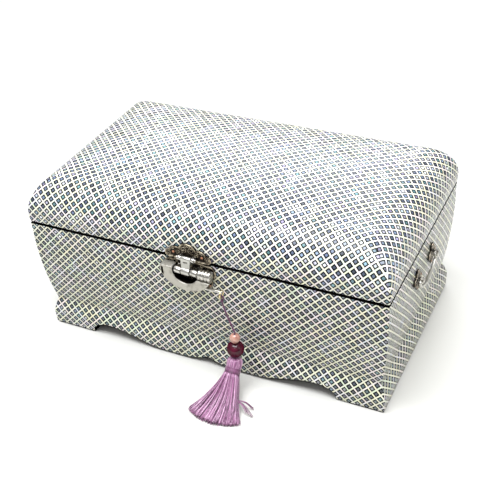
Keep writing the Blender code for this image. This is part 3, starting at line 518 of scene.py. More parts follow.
# Mother-of-pearl inlay: strips that cross at 45 degrees and a small diamond in each black cell
inlay = {"acrossU": 0.280 / 42.5, "acrossV": 0.161 / 24.5, "strip": 0.245, "diamond": 0.385, "soft": 0.012,
         "wobble": 0.07, "run": 3.0, "ground": (0.004, 0.005, 0.006), "tilt": 0.16, "coat": 0.18,
         "coatRoughness": 0.30, "wallTint": (0.955, 0.965, 0.925), "lidLightTint": (1.0, 1.0, 1.0),
         "lidStoneSheen": 1.7, "lidHeights": (0.080, 0.102), "patchMix": 0.22, "batchScale": 75,
         "batchEdges": (0.50, 0.64), "batchLift": 0.95, "stoneBase": 0.80, "grainScale": 2600,
         "stripGlint": 0.42, "groundGlint": 0.08, "diamondGlint": 0.90}


def makeInlay():
    material, tree, spot = newMaterial("pearl_inlay")
    uv = addNode(tree, "SeparateXYZ", addNode(tree, "UVMap", (), uv_map="veneer").outputs[:]).outputs
    u, v = calc(tree, "DIVIDE", uv[0], inlay["acrossU"]), calc(tree, "DIVIDE", uv[1], inlay["acrossV"])
    first, second = calc(tree, "ADD", u, v), calc(tree, "SUBTRACT", u, v)
    offs = [calc(tree, "ABSOLUTE", calc(tree, "SUBTRACT", calc(tree, "FRACT", line), 0.5))
            for line in (first, second)]
    shift = calc(tree, "MULTIPLY", calc(tree, "SUBTRACT", noiseAt(tree, spot, 900, 2.0), 0.5), inlay["wobble"])
    off = calc(tree, "ADD", calc(tree, "MAXIMUM", *offs), shift)
    stripEdge, diamondEdge, soft = 0.5 - inlay["strip"] / 2, inlay["diamond"] / 2, inlay["soft"]
    strip = smoothStep(tree, off, stripEdge - soft, stripEdge + soft)
    diamond = calc(tree, "SUBTRACT", 1.0, smoothStep(tree, off, diamondEdge - soft, diamondEdge + soft))
    # each cell and each length of strip has its own tint
    cell = join(tree, calc(tree, "FLOOR", first), calc(tree, "FLOOR", second), 0.5)
    runs = [calc(tree, "FLOOR", calc(tree, "DIVIDE", line, inlay["run"])) for line in (first, second)]
    run = mixVector(tree, calc(tree, "GREATER_THAN", *offs),
                    join(tree, runs[0], calc(tree, "ROUND", second), 9.5),
                    join(tree, calc(tree, "ROUND", first), runs[1], 7.5))
    cellNoise, runNoise = (addNode(tree, "TexWhiteNoise", (which,)).outputs for which in (cell, run))
    pearl = ramp(tree, runNoise[0], (0.0, 0.58, 0.57, 0.44), (0.24, 0.78, 0.77, 0.68), (0.48, 0.76, 0.72, 0.52),
                 (0.64, 0.62, 0.72, 0.56), (0.80, 0.82, 0.69, 0.72), (1.0, 0.62, 0.66, 0.78))
    patches = ramp(tree, noiseAt(tree, spot, 34, 2.0), (0.35, 0.76, 0.74, 0.56), (0.5, 0.74, 0.75, 0.70),
                   (0.65, 0.78, 0.71, 0.70))
    stone = ramp(tree, cellNoise[0], (0.0, 0.014, 0.020, 0.034), (0.26, 0.040, 0.056, 0.10),
                 (0.46, 0.10, 0.135, 0.19), (0.60, 0.04, 0.115, 0.125), (0.72, 0.17, 0.205, 0.225),
                 (0.84, 0.125, 0.108, 0.19), (1.0, 0.38, 0.41, 0.42))
    # the stones come in batches, some paler than others; on the lid they are paler still, which is painted sheen
    # standing in for the haze of reflected light there
    lift = smoothStep(tree, addNode(tree, "SeparateXYZ", (spot,)).outputs[2], *inlay["lidHeights"])
    batch = smoothStep(tree, noiseAt(tree, spot, inlay["batchScale"], 2.0), *inlay["batchEdges"])
    stoneToneAndSheen = calc(tree, "MULTIPLY", calc(tree, "MULTIPLY_ADD", lift, inlay["lidStoneSheen"] - 1, 1.0),
                      calc(tree, "MULTIPLY_ADD", batch, inlay["batchLift"], inlay["stoneBase"]))
    color = mixColor(tree, diamond, inlay["ground"], dim(tree, stone, stoneToneAndSheen))
    color = mixColor(tree, strip, color, mixColor(tree, inlay["patchMix"], pearl, patches))
    grain = noiseAt(tree, spot, inlay["grainScale"], stretch=(1.0, 1.0, 0.35))
    color = dim(tree, color, calc(tree, "MULTIPLY_ADD", grain, 0.30, 0.85))
    # the shell on the walls is tinted warmer than the shell on the lid: painted warm light bounced up from the floor
    color = mixColor(tree, 1.0, color, mixColor(tree, lift, inlay["wallTint"], inlay["lidLightTint"]), "MULTIPLY")
    # every chip of shell lies a little out of level under the clear coat
    tilt = inlay["tilt"]
    chip = vectorCalc(tree, "MULTIPLY_ADD", mixVector(tree, strip, cellNoise[1], runNoise[1]), (tilt,) * 3,
                      (-tilt / 2,) * 3)
    normal = tree.nodes.new("ShaderNodeNewGeometry").outputs["Normal"]
    glint = calc(tree, "MULTIPLY_ADD", strip, inlay["stripGlint"], inlay["groundGlint"])
    setShader(tree, {
        "Base Color": color, "Normal": vectorCalc(tree, "NORMALIZE", vectorCalc(tree, "ADD", normal, chip)),
        "Roughness": calc(tree, "MULTIPLY_ADD", calc(tree, "MAXIMUM", strip, diamond), 0.22, 0.16),
        "Specular IOR Level": calc(tree, "MULTIPLY_ADD", diamond, inlay["diamondGlint"], glint),
        "Coat Weight": inlay["coat"], "Coat Roughness": inlay["coatRoughness"]})
    return material


def makeLacquer(name, gloss):
    material, tree, spot = newMaterial(name)
    setShader(tree, {"Base Color": twoTone(tree, noiseAt(tree, spot, 60, 4.0), (0.001,) * 3, (0.003,) * 3),
                     "Roughness": calc(tree, "MULTIPLY_ADD", noiseAt(tree, spot, 240), 0.18, 0.24),
                     "Normal": bump(tree, noiseAt(tree, spot, 700, 2.0), 0.00003), "Specular IOR Level": gloss})
    return material


def makeMetal(name, bright, dark, roughness, stain, pits=0.0, pitScale=0):
    # a metal with a tarnish that gathers in patches, fine scratches and, where asked, pits
    material, tree, spot = newMaterial(name)
    patches = noiseAt(tree, spot, 260, 5.0, 0.62)
    fine = noiseAt(tree, spot, 2400)
    height = fine
    if pits:
        cells = addNode(tree, "TexVoronoi", {"Vector": spot, "Scale": pitScale}).outputs["Distance"]
        height = calc(tree, "ADD", smoothStep(tree, cells, 0.10, 0.42), calc(tree, "MULTIPLY", fine, 0.4))
    amount = smoothStep(tree, patches, 0.62 - stain * 0.3, 0.78 - stain * 0.2)
    scratches = calc(tree, "MULTIPLY_ADD", fine, 0.12, roughness - 0.18)
    setShader(tree, {"Base Color": mixColor(tree, amount, bright, dark), "Metallic": 1.0,
                     "Roughness": calc(tree, "ADD", calc(tree, "MULTIPLY", patches, 0.25), scratches),
                     "Normal": bump(tree, height, pits or 0.00001)})
    return material


def makeVelvet(name, color, light, pile):
    material, tree, spot = newMaterial(name)
    fine = noiseAt(tree, spot, pile, 2.0, 0.6)
    mixed = calc(tree, "MULTIPLY_ADD", noiseAt(tree, spot, 38), 0.6, calc(tree, "MULTIPLY", fine, 0.4))
    setShader(tree, {"Base Color": ramp(tree, mixed, (0.30, *color), (0.72, *light)), "Roughness": 0.92,
                     "Sheen Weight": 0.55, "Sheen Roughness": 0.35, "Sheen Tint": light,
                     "Normal": bump(tree, fine, 0.00012)})
    return material


def makeSilk(name, deep, middle, pale, roughness=0.34):
    # each strand takes its tint from its own place and its colour attribute
    material, tree, spot = newMaterial(name)
    tone = addNode(tree, "Attribute", (), attribute_name="tone").outputs["Fac"]
    value = calc(tree, "MULTIPLY_ADD", noiseAt(tree, spot, 420, 2.0), 0.35, calc(tree, "MULTIPLY", tone, 0.72))
    setShader(tree, {"Base Color": ramp(tree, value, (0.15, *deep), (0.51, *middle), (0.95, *pale)),
                     "Roughness": roughness, "Sheen Weight": 0.4, "Sheen Roughness": 0.4,
                     "Specular IOR Level": 0.7, "Normal": bump(tree, noiseAt(tree, spot, 5200, 2.0), 0.00002)})
    return material


def makePearl():
    material, tree, spot = newMaterial("peach_pearl")
    color = ramp(tree, noiseAt(tree, spot, 300), (0.3, 0.30, 0.13, 0.10), (0.55, 0.44, 0.23, 0.18),
                 (0.75, 0.58, 0.36, 0.29))
    setShader(tree, {"Base Color": color, "Roughness": 0.26, "Coat Weight": 0.5, "Coat Roughness": 0.08,
                     "Specular IOR Level": 0.6})
    return material


def makeGarnet():
    # the gloss fades toward the bead's rim
    material, tree, spot = newMaterial("garnet_glass")
    facing = addNode(tree, "LayerWeight", (0.5,)).outputs["Facing"]
    color = twoTone(tree, noiseAt(tree, spot, 240), (0.028, 0.001, 0.006), (0.080, 0.003, 0.018))
    gloss = calc(tree, "MULTIPLY_ADD", smoothStep(tree, facing, 0.10, 0.55), -0.42, 0.45)
    setShader(tree, {"Base Color": color, "Roughness": 0.12, "Specular IOR Level": gloss})
    return material


def makePlain(name, low, high, scale, roughness, depth, stretch=None):
    material, tree, spot = newMaterial(name)
    cloud = noiseAt(tree, spot, scale, 5.0, 0.6, stretch)
    setShader(tree, {"Base Color": twoTone(tree, cloud, low, high), "Normal": bump(tree, cloud, depth),
                     "Roughness": calc(tree, "MULTIPLY_ADD", cloud, 0.2, roughness - 0.1)})
    return material


def makeMirror():
    material, tree, spot = newMaterial("mirror_glass")
    haze = noiseAt(tree, spot, 30)
    setShader(tree, {"Base Color": twoTone(tree, haze, (0.90, 0.92, 0.92), (0.95, 0.96, 0.96)),
                     "Roughness": calc(tree, "MULTIPLY_ADD", haze, 0.03, 0.01), "Metallic": 1.0})
    return material


pearlInlay = makeInlay()
blackLacquer = makeLacquer("black_lacquer", 0.25)
blackEdge = makeLacquer("black_edge", 0.0)
bareWood = makePlain("bare_wood", (0.045, 0.026, 0.016), (0.12, 0.072, 0.042), 46, 0.75, 0.0003,
                     (1.0, 1.0, 6.0))
blackFelt = makePlain("black_felt", (0.010, 0.010, 0.011), (0.030, 0.030, 0.032), 1800, 0.95, 0.0002)
brushed = makeMetal("brushed_nickel", (0.56, 0.55, 0.51), (0.34, 0.32, 0.29), 0.38, 0.3)
nickel = makeMetal("bright_nickel", (0.62, 0.60, 0.56), (0.20, 0.18, 0.15), 0.26, 0.4)
pitted = makeMetal("pitted_silver", (0.50, 0.48, 0.43), (0.30, 0.28, 0.24), 0.46, 0.4, 0.00016, 1500)
antiqueAndShade = makeMetal("antique_metal", (0.034, 0.027, 0.020), (0.008, 0.006, 0.005), 0.38, 0.8, 0.00005, 2200)
filigree = makeMetal("filigree_wire", (0.62, 0.54, 0.40), (0.06, 0.045, 0.03), 0.30, 0.65, 0.00002, 2600)
copper = makeMetal("copper_boss", (0.55, 0.27, 0.16), (0.22, 0.08, 0.05), 0.34, 0.4, 0.00002, 2600)
agedWire = makeMetal("aged_wire", (0.46, 0.41, 0.33), (0.02, 0.015, 0.01), 0.30, 0.6, 0.00002, 2600)
brass = makeMetal("pale_brass", (0.76, 0.66, 0.44), (0.40, 0.31, 0.17), 0.30, 0.35)
goldWire = makeMetal("gold_wire", (0.82, 0.68, 0.40), (0.46, 0.32, 0.16), 0.26, 0.3)
velvet = makeVelvet("wine_velvet", (0.055, 0.003, 0.010), (0.19, 0.016, 0.038), 1500)
ringVelvet = makeVelvet("ring_velvet", (0.07, 0.004, 0.014), (0.22, 0.022, 0.048), 1900)
mirrorGlass = makeMirror()
silk = makeSilk("lilac_silk", (0.05, 0.010, 0.040), (0.36, 0.135, 0.285), (0.79, 0.55, 0.72))
bindingSilk = makeSilk("binding_silk", (0.045, 0.008, 0.034), (0.18, 0.05, 0.135), (0.42, 0.20, 0.35))
plumCord = makeSilk("plum_cord", (0.025, 0.002, 0.016), (0.085, 0.010, 0.060), (0.22, 0.05, 0.17), 0.42)
peachPearl = makePearl()
garnetGlass = makeGarnet()
# the part's own slot for each material; wires and bosses have none
slots = {pearlInlay: "pearl_lacquer", blackLacquer: "black_lacquer", bareWood: "bare_wood", blackFelt: "felt",
         brushed: "nickel", nickel: "nickel", pitted: "nickel", antiqueAndShade: "antique_metal", brass: "pale_brass",
         velvet: "velvet", ringVelvet: "ring_velvet", mirrorGlass: "mirror", silk: "silk",
         bindingSilk: "silk_binding", plumCord: "plum_cord", peachPearl: "pearl", garnetGlass: "garnet"}
print("materials made")


# The tassel's cord, from its knot down through the beads (the route's points are part.py's)
tassel = {"ring": (0.0215, -0.0865, 0.07575), "ringWire": 0.00065, "cordRadius": 0.0006, "ply": 0.16,
          "pearl": (0.0095, -0.0035, -0.0305), "pearlRadius": 0.0039, "bead": (0.0090, -0.0030, -0.0411),
          "beadRadius": 0.00635, "beadEnd": 0.0015,
          "route": ((0.0012, -0.0006, -0.0070), (0.0050, -0.0018, -0.0160)), "knotEnd": -0.0039,
          "topLean": 13.0, "bandLean": 46.0, "headRadius": 0.0057, "headLength": 0.0080, "bandRadius": 0.0061,
          "bandLength": 0.0042, "plies": 3, "lay": 0.0021}
knot = {"loop": 0.0015, "loopBow": 0.0002, "drop": 0.0030, "wide": 0.00075, "deep": 0.00062, "rise": 0.00035,
        "pitch": 0.00042, "neck": ((0.0016, 0.0007), (0.0026, 0.00055), (0.0040, 0.00058))}
ringPlace = place(*tassel["ring"])
pearlPlace = ringPlace + Vector(tassel["pearl"])
beadPlace = ringPlace + Vector(tassel["bead"])
beadsDown = (beadPlace - pearlPlace).normalized()
wirePlace = ringPlace + Vector((0, 0, tassel["ringWire"]))


def paintCord(shape, base):
    layer = shape.verts.layers.float.new("tone")
    for vert in shape.verts:
        vert[layer] = base + 0.5 * noise.noise(vert.co * 900)


def makeCord():
    below = [wirePlace + Vector((0, 0, tassel["knotEnd"]))]
    below += [ringPlace + Vector(point) for point in tassel["route"]]
    below.append(pearlPlace - beadsDown * tassel["pearlRadius"] * 1.5)
    route = catmull(below, 24)
    start, end = route[-1], beadPlace + beadsDown * tassel["beadRadius"]
    route += [start + (end - start) * share for share in evenly(1, 40)[1:]]
    spacing = routeLength(route) / (len(route) - 1)
    shape = bmesh.new()
    tube(shape, route, tassel["cordRadius"], 15, lobes=tassel["plies"], depth=tassel["ply"],
         twist=math.tau * spacing / (tassel["lay"] * tassel["plies"]))
    paintCord(shape, 0.35)
    return finish("tassel_cord_twisted", shape, "tassel", [plumCord], replaced="tassel_cord"), route


def makeLoopAndKnot():
    # the cord's small loop through the key's ring, and the knot under it
    shape = bmesh.new()
    loop = []
    for angle in [math.radians(-30 - turn) for turn in evenly(300, 36)]:
        loop.append(wirePlace + Vector((math.sin(angle) * knot["loop"], knot["loopBow"] * math.sin(angle * 2),
                                        -math.cos(angle) * knot["loop"])))
    tube(shape, loop, tassel["cordRadius"], 10, lobes=tassel["plies"], depth=tassel["ply"], twist=0.5)
    middle = wirePlace - Vector((0, 0, knot["drop"]))
    for turn in range(3):
        wind = []
        for angle in evenly(math.tau, 32):
            wind.append(middle + Vector((math.cos(angle) * knot["wide"], math.sin(angle) * knot["deep"],
                                         knot["rise"] * math.sin(angle + turn * 2.1)
                                         - knot["pitch"] * (turn - 1))))
        tube(shape, wind, knot["pitch"], 8, ends=False)
    tube(shape, [wirePlace - Vector((0, 0, drop)) for drop, radius in knot["neck"]],
         [radius for drop, radius in knot["neck"]], 10)
    paintCord(shape, 0.4)
    merge(shape, 1e-7)
    return finish("tassel_knot", shape, "tassel", [plumCord])


tasselCord, cordRoute = makeCord()
tasselKnot = makeLoopAndKnot()
print("cord laid, length", round(routeLength(cordRoute), 4))


# Case walls: boards with the inlay outside, black lacquer at the rim
wall = {"straight": 0.015, "waist": 0.0245, "waistInset": 0.0054, "thick": 0.0100, "edge": 0.0012,
        "round": 0.0005, "arcSteps": 22}
sides = {"front": (0, -1), "right": (1, 0), "back": (0, 1), "left": (-1, 0)}
phase = 0.0012         # how far under the rim the first row of crossings lies
hinge = {"fromEnd": 0.055, "length": 0.030, "leafDepth": 0.0075, "leaf": 0.0012, "gap": 0.0003}


def wallProfile():
    drop = rimZ - wall["straight"] - wall["waist"]
    radius = (drop ** 2 + wall["waistInset"] ** 2) / (2 * wall["waistInset"])
    profile = [(wall["round"], rimZ), (wall["round"] * 0.3, rimZ - wall["round"] * 0.3),
               (0, rimZ - wall["round"]), (0, rimZ - wall["edge"])]
    for fall in evenly(drop, wall["arcSteps"]):
        profile.append((radius - math.sqrt(radius ** 2 - fall ** 2), rimZ - wall["straight"] - fall))
    return profile


def onSide(side, along, inset, height):
    # along runs from -1 to 1 between the mitres
    outX, outY = sides[side]
    if outY:
        return place(along * (halfX - inset), outY * (halfY - inset), height)
    return place(outX * (halfX - inset), along * (halfY - inset), height)


def paintVeneer(shape, side, depths):
    # UV in metres: along the side, and down its face by arc length
    layer = shape.loops.layers.uv.new("veneer")
    heights = sorted(depths)
    for loop in [loop for face in shape.faces for loop in face.loops]:
        x, y, z = loop.vert.co
        low = max([height for height in heights if height <= z + 1e-7], default=heights[0])
        high = min([height for height in heights if height >= z - 1e-7], default=heights[-1])
        share = 0 if high == low else (z - low) / (high - low)
        depth = depths[low] + (depths[high] - depths[low]) * share
        loop[layer].uv = (x if sides[side][1] else y - caseY, phase - depth)


def makeWall(side):
    profile = wallProfile()
    outline = profile + [(wall["thick"], wall["waist"]), (wall["thick"], rimZ)]
    shape = bmesh.new()
    ring = [shape.verts.new(onSide(side, -1, *spot)) for spot in outline]
    partners = dict(zip(ring, outline))
    for vert in drawOut(shape, [shape.edges.new(pair) for pair in zip(ring, ring[1:] + ring[:1])]):
        others = [edge.other_vert(vert) for edge in vert.link_edges]
        vert.co = onSide(side, 1, *[partners[other] for other in others if other in partners][0])
    fillHoles(shape)
    tidyNormals(shape)
    paintVeneer(shape, side, {spot[1]: length for spot, length in zip(profile, arcLengths(profile))})
    for face in shape.faces:
        isOuter = face.normal.dot(Vector((*sides[side], 0))) > 0.35
        isUnderRim = face.calc_center_median().z < rimZ - wall["edge"] + 1e-5
        face.material_index = 0 if isOuter and isUnderRim else 1
    return shape


def hingeMortises(lowZ, highZ):
    reach, far = hinge["length"] / 2 + hinge["gap"], halfX - hinge["fromEnd"]
    return [boxCutter(place(x - reach, halfY - hinge["leafDepth"] - hinge["gap"], lowZ),
                      place(x + reach, halfY + 0.002, highZ)) for x in (-far, far)]


for side in sides:
    shape = makeWall(side)
    if side == "back":
        shape = cutShape(shape, hingeMortises(rimZ - hinge["leaf"] - hinge["gap"], rimZ + 0.001))
    finish(side + "_wall_inlaid", shape, "case", [pearlInlay, blackEdge], 30, side + "_wall", outward=False)
print("walls made")


# Plinth aprons: flared boards, scalloped at the front and back, with a black lower edge
apron = {"topInset": 0.0056, "flareHeight": 0.0120, "flareInset": 0.0018, "power": 1.3, "footInset": 0.0020,
         "footRound": 0.0010, "pad": 0.0010, "inner": 0.0130, "blackLine": 0.0006, "footLength": 0.036,
         "archPeak": 0.052, "archHeight": 0.0097, "lobe": 0.27, "lobeHeight": 0.0006, "cusp": 0.17,
         "cuspHeight": 0.0062, "cuspPower": 2.2, "rows": 14, "underWaist": 0.0003}
archFoot, archPeak = halfX - apron["footLength"], halfX - apron["archPeak"]
lobeEnd, cuspEnd = halfX * apron["lobe"], halfX * apron["cusp"]


def apronInset(height):
    top = wall["waist"] - apron["underWaist"]
    low = apron["pad"] + apron["footRound"]
    if height >= apron["flareHeight"]:
        share = clamp((top - height) / (top - apron["flareHeight"]))
        return apron["flareInset"] + (apron["topInset"] - apron["flareInset"]) * (1 - share) ** apron["power"]
    if height >= low:
        share = (apron["flareHeight"] - height) / (apron["flareHeight"] - low)
        return apron["flareInset"] + (apron["footInset"] - apron["flareInset"]) * share
    return (apron["footInset"] + apron["footRound"]
            - math.sqrt(max(apron["footRound"] ** 2 - (low - height) ** 2, 0)))


def scallopHeight(x):
    # the free height under the front apron at a distance from its middle
    x = abs(x)
    if x >= archFoot:
        return 0.0
    if x >= archPeak:
        return apron["archHeight"] * math.sqrt(max(1 - ((x - archPeak) / (archFoot - archPeak)) ** 2, 0))
    if x >= lobeEnd:
        swell = (1 + math.cos(math.pi * (archPeak - x) / (archPeak - lobeEnd))) / 2
        return apron["lobeHeight"] + (apron["archHeight"] - apron["lobeHeight"]) * swell
    rise = max(1 - x / cuspEnd, 0) ** apron["cuspPower"]
    return apron["lobeHeight"] + (apron["cuspHeight"] - apron["lobeHeight"]) * rise


def apronColumns(side):
    # mitre to mitre, closer together where the outline turns
    if side in ("left", "right"):
        return [step - 1 for step in evenly(2, 8)]
    places = {0.0, 0.92, 1.0}
    places |= {(archPeak + (archFoot - archPeak) * math.cos(angle)) / halfX
               for angle in evenly(math.pi / 2, 24)}
    places |= {(archPeak + step) / halfX for step in evenly(lobeEnd - archPeak, 30)[1:]}
    places |= {apron["cusp"] * (1 - share) for share in evenly(1, 24)}
    return sorted(places | {-value for value in places})


def makeApron(side):
    columns = apronColumns(side)
    top = wall["waist"] - 0.00002
    heights = [apron["pad"] + rise for rise in evenly(top - apron["pad"], 60)]
    lengths = arcLengths([(apronInset(height), height) for height in heights])
    foot = arcLengths(wallProfile())[-1] + lengths[-1]
    outX, outY = sides[side]

    def freeHeight(along):
        return scallopHeight(along * halfX) if outY else 0.0

    def spot(column, row):
        bottom = apron["pad"] + freeHeight(columns[column])
        start = bottom + apron["blackLine"]
        height = bottom if row == 0 else start + (top - start) * (row - 1) / (apron["rows"] - 1)
        return onSide(side, columns[column], apronInset(height), height)

    shape = bmesh.new()
    skin(shape, len(columns) - 1, apron["rows"], spot)
    # the board's inner face, mitred at its ends
    for vert in drawOut(shape, openEdges(shape)):
        x, y, z = vert.co - Vector((0, caseY, 0))
        if outY:
            reach = halfX - (halfY - abs(y))
            scale = (halfX - apron["inner"]) / reach if abs(abs(x) - reach) < 1e-6 else 1.0
            vert.co = place(x * scale, outY * (halfY - apron["inner"]), z)
        else:
            reach = halfY - (halfX - abs(x))
            scale = (halfY - apron["inner"]) / reach if abs(abs(y) - reach) < 1e-6 else 1.0
            vert.co = place(outX * (halfX - apron["inner"]), y * scale, z)
    fillHoles(shape)
    tidyNormals(shape)
    paintVeneer(shape, side, {height: foot - length for height, length in zip(heights, lengths)})
    for face in shape.faces:
        middle = face.calc_center_median()
        free = freeHeight(middle.x / (halfX - apronInset(middle.z)))
        isOuter = face.normal.dot(Vector((outX, outY, 0))) > 0.5 and len(face.verts) == 4
        face.material_index = 0 if isOuter and middle.z - apron["pad"] - free > apron["blackLine"] else 1
    finish(side + "_apron_inlaid", shape, "case", [pearlInlay, blackEdge], 32, side + "_apron", outward=False)


for side in sides:
    makeApron(side)
print("aprons made")


# Lid: a pillow whose inlay runs up the sides and over the top without a seam
lid = {"bulge": 0.0009, "bulgeHeight": 0.0085, "shoulder": 0.0275, "crownSlope": math.radians(12),
       "crownRise": 0.0063, "cornerGrowth": 0.20, "edgeRadius": 0.0006, "rimInset": 0.0095,
       "blackEdge": 0.0011, "hollowRadius": 0.016, "hollowStraight": 0.012, "hollowCorner": 0.003,
       "cornerSteps": 20, "longSteps": 18, "shortSteps": 12, "shoulderSteps": 26, "crownSteps": 12,
       "footInset": 0.0003}
quarter = lid["longSteps"] + lid["cornerSteps"] + lid["shortSteps"]
quarterSigns = ((1, 1), (1, -1), (-1, -1), (-1, 1))


def lidProfile():
    # (inset, rise, plan radius) from the black edge line up to the crown's foot
    radius = (lid["bulgeHeight"] ** 2 + lid["bulge"] ** 2) / (2 * lid["bulge"])
    profile = []
    for rise in (0.0, lid["blackEdge"] * 0.4, lid["blackEdge"], 0.0025, 0.0045, 0.0065):
        inset = radius - lid["bulge"] - math.sqrt(radius ** 2 - (lid["bulgeHeight"] - rise) ** 2)
        profile.append((inset if rise else inset + lid["footInset"], rise))
    for angle in evenly(math.pi / 2 - lid["crownSlope"], lid["shoulderSteps"]):
        profile.append((lid["shoulder"] * (1 - math.cos(angle)) - lid["bulge"],
                        lid["bulgeHeight"] + lid["shoulder"] * math.sin(angle)))
    return [(inset, rise, lid["edgeRadius"] + lid["cornerGrowth"] * rise) for inset, rise in profile]


def contourPoint(column, inset, radius):
    # walks round the plan from the middle of the front, with the mitre lines on fixed columns
    corner, long, short = lid["cornerSteps"], lid["longSteps"], lid["shortSteps"]
    lap, step = divmod(column % (quarter * 4), quarter)
    step = quarter - step if lap % 2 else step
    straightX, straightY = halfX - inset - radius, halfY - inset - radius
    angle = math.pi / 2 * clamp((step - long) / corner)
    x = straightX + radius * math.sin(angle)
    y = straightY + radius * math.cos(angle)
    if step <= long:
        x = straightX * step / long
    elif step > long + corner:
        x, y = straightX + radius, straightY * (1 - (step - long - corner) / short)
    return x * quarterSigns[lap][0], -y * quarterSigns[lap][1], angle


def veneerUv(column, inset, radius, stretch, share, middle):
    # share is 1 at the lid's foot and 0 on its top; middle says which side of a mitre line the face is on
    x, y, angle = contourPoint(column, inset, radius)
    u, v = abs(x), abs(y)
    lap, step = divmod(middle, quarter)
    signX, signY = quarterSigns[int(lap) % 4]
    step = quarter - step if lap % 2 else step
    if step < lid["longSteps"] + lid["cornerSteps"] / 2:
        along = halfX - inset - radius + radius * angle if angle > 0 else u
        u, v = u + (along - u) * share, v + (halfY - inset - v) * share + stretch
    else:
        along = halfY - inset - radius + radius * (math.pi / 2 - angle) if angle < math.pi / 2 else v
        u, v = u + (halfX - inset - u) * share + stretch, v + (along - v) * share
    return u * signX, -v * signY


def makeLidShell():
    profile = lidProfile()
    lengths = arcLengths([spot[:2] for spot in profile])
    spare = lengths[-1] - profile[-1][0] + profile[0][0]
    edgeInset, edgeRise, edgeRadius = profile[-1]
    crown = lid["crownSteps"]

    def spot(column, row):
        if row < len(profile):
            inset, rise, radius = profile[row]
            return place(*contourPoint(column, inset, radius)[:2], lidZ + rise)
        share = 1 - (row - len(profile) + 1) / crown
        x, y = (value * share for value in contourPoint(column, edgeInset, edgeRadius)[:2])
        fall = (1 - abs(x / (halfX - edgeInset)) ** 4) * (1 - abs(y / (halfY - edgeInset)) ** 2)
        return place(x, y, lidZ + edgeRise + lid["crownRise"] * fall)

    def uvSpot(column, row, middle):
        if row < len(profile):
            inset, _, radius = profile[row]
            stretch = spare - (lengths[row] - inset + profile[0][0])
            return veneerUv(column, inset, radius, stretch, clamp(stretch / spare), middle)
        point = spot(column, row)
        return point.x, point.y - caseY

    shape = bmesh.new()
    shape.loops.layers.uv.new("veneer")
    skin(shape, quarter * 4, len(profile) - 1 + crown, spot, closed=True, uvSpot=uvSpot)
    peak = place(0, 0, 0)
    bmesh.ops.remove_doubles(shape, verts=[vert for vert in shape.verts if vert.co.z > lidZ + 0.04
                                           and (vert.co - peak).xy.length < 1e-6], dist=1e-6)
    for face in shape.faces:
        if face.calc_center_median().z < lidZ + lid["blackEdge"]:
            face.material_index = 1
    # the rim and the hollow inside
    hollow = [profile[0], (lid["rimInset"], 0.0, lid["hollowCorner"])]
    for angle in evenly(math.pi / 2, 8):
        rise = lid["hollowRadius"] * math.sin(angle)
        hollow.append((lid["rimInset"] + lid["hollowRadius"] * (1 - math.cos(angle)),
                       lid["hollowStraight"] + rise, lid["hollowCorner"] + lid["cornerGrowth"] * rise))

    def inside(column, row):
        inset, rise, radius = hollow[row]
        return place(*contourPoint(column, inset, radius)[:2], lidZ + rise)

    skin(shape, quarter * 4, len(hollow) - 1, inside, closed=True, material=1)
    merge(shape, 1e-6)
    fillHoles(shape)
    for face in shape.faces:
        if len(face.verts) > 6:
            face.material_index = 1
    tidyNormals(shape)
    shape = cutShape(shape, hingeMortises(lidZ - 0.001, lidZ + hinge["leaf"] + hinge["gap"]))
    finish("lid_shell_inlaid", shape, "lid", [pearlInlay, blackEdge], 34, "lid_shell", outward=False)


makeLidShell()
print("lid made")


# Clasp: dark plates with wire scrolls and copper bosses, a bright strap, three barrels on one rod
clasp = {"shift": -0.0045, "plate": 0.0010, "gap": 0.0003, "margin": 0.0004, "rim": 0.00030, "wire": 0.00015}
# a scroll is (x, z, radius, turns, start, way); facing scrolls start at mirrored angles on the left
plates = {
    "hasp_plate": {
        "body": "lid", "proud": 0.0009, "datum": lidZ, "way": 1, "points": 96, "innerRim": 3.4, "facing": False,
        "lobes": ((0.0, 0.0072, 0.0070), (0.0095, 0.0050, 0.0054), (0.0148, 0.0036, 0.0033)),
        "scrolls": ((0.0030, 0.0088, 0.0027, 1.6, math.pi / 2, 1), (0.0012, 0.0120, 0.0014, 1.2, 0.0, -1),
                    (0.0072, 0.0060, 0.0021, 1.4, math.pi, -1), (0.0150, 0.0038, 0.0019, 1.5, 0.4, 1),
                    (0.0112, 0.0082, 0.0013, 1.2, 2.0, 1)),
        "flowers": ((0.0112, 0.0052),), "petal": 0.00042},
    "staple_plate": {
        "body": "case", "proud": 0.0, "datum": rimZ, "way": -1, "points": 128, "innerRim": 3.2, "facing": True,
        "lobes": ((0.0, -0.0130, 0.0085), (0.0080, -0.0080, 0.0080), (0.0142, -0.0072, 0.0062),
                  (0.0120, -0.0155, 0.0055)),
        "scrolls": ((0.0146, -0.0042, 0.0024, 1.6, 0.5, 1), (0.0158, -0.0098, 0.0022, 1.5, 2.6, -1),
                    (0.0116, -0.0078, 0.0020, 1.3, 4.0, 1), (0.0124, -0.0140, 0.0024, 1.6, 1.2, -1),
                    (0.0112, -0.0182, 0.0018, 1.3, 3.0, 1), (0.0074, -0.0160, 0.0020, 1.4, 5.2, -1),
                    (0.0036, -0.0186, 0.0022, 1.5, 0.2, 1), (0.0048, -0.0130, 0.0018, 1.2, 2.2, -1),
                    (0.0018, -0.0142, 0.0014, 1.1, 4.4, 1), (0.0102, -0.0030, 0.0017, 1.2, 1.9, -1)),
        "flowers": ((0.0172, -0.0070), (0.0150, -0.0178)), "petal": 0.000294}}


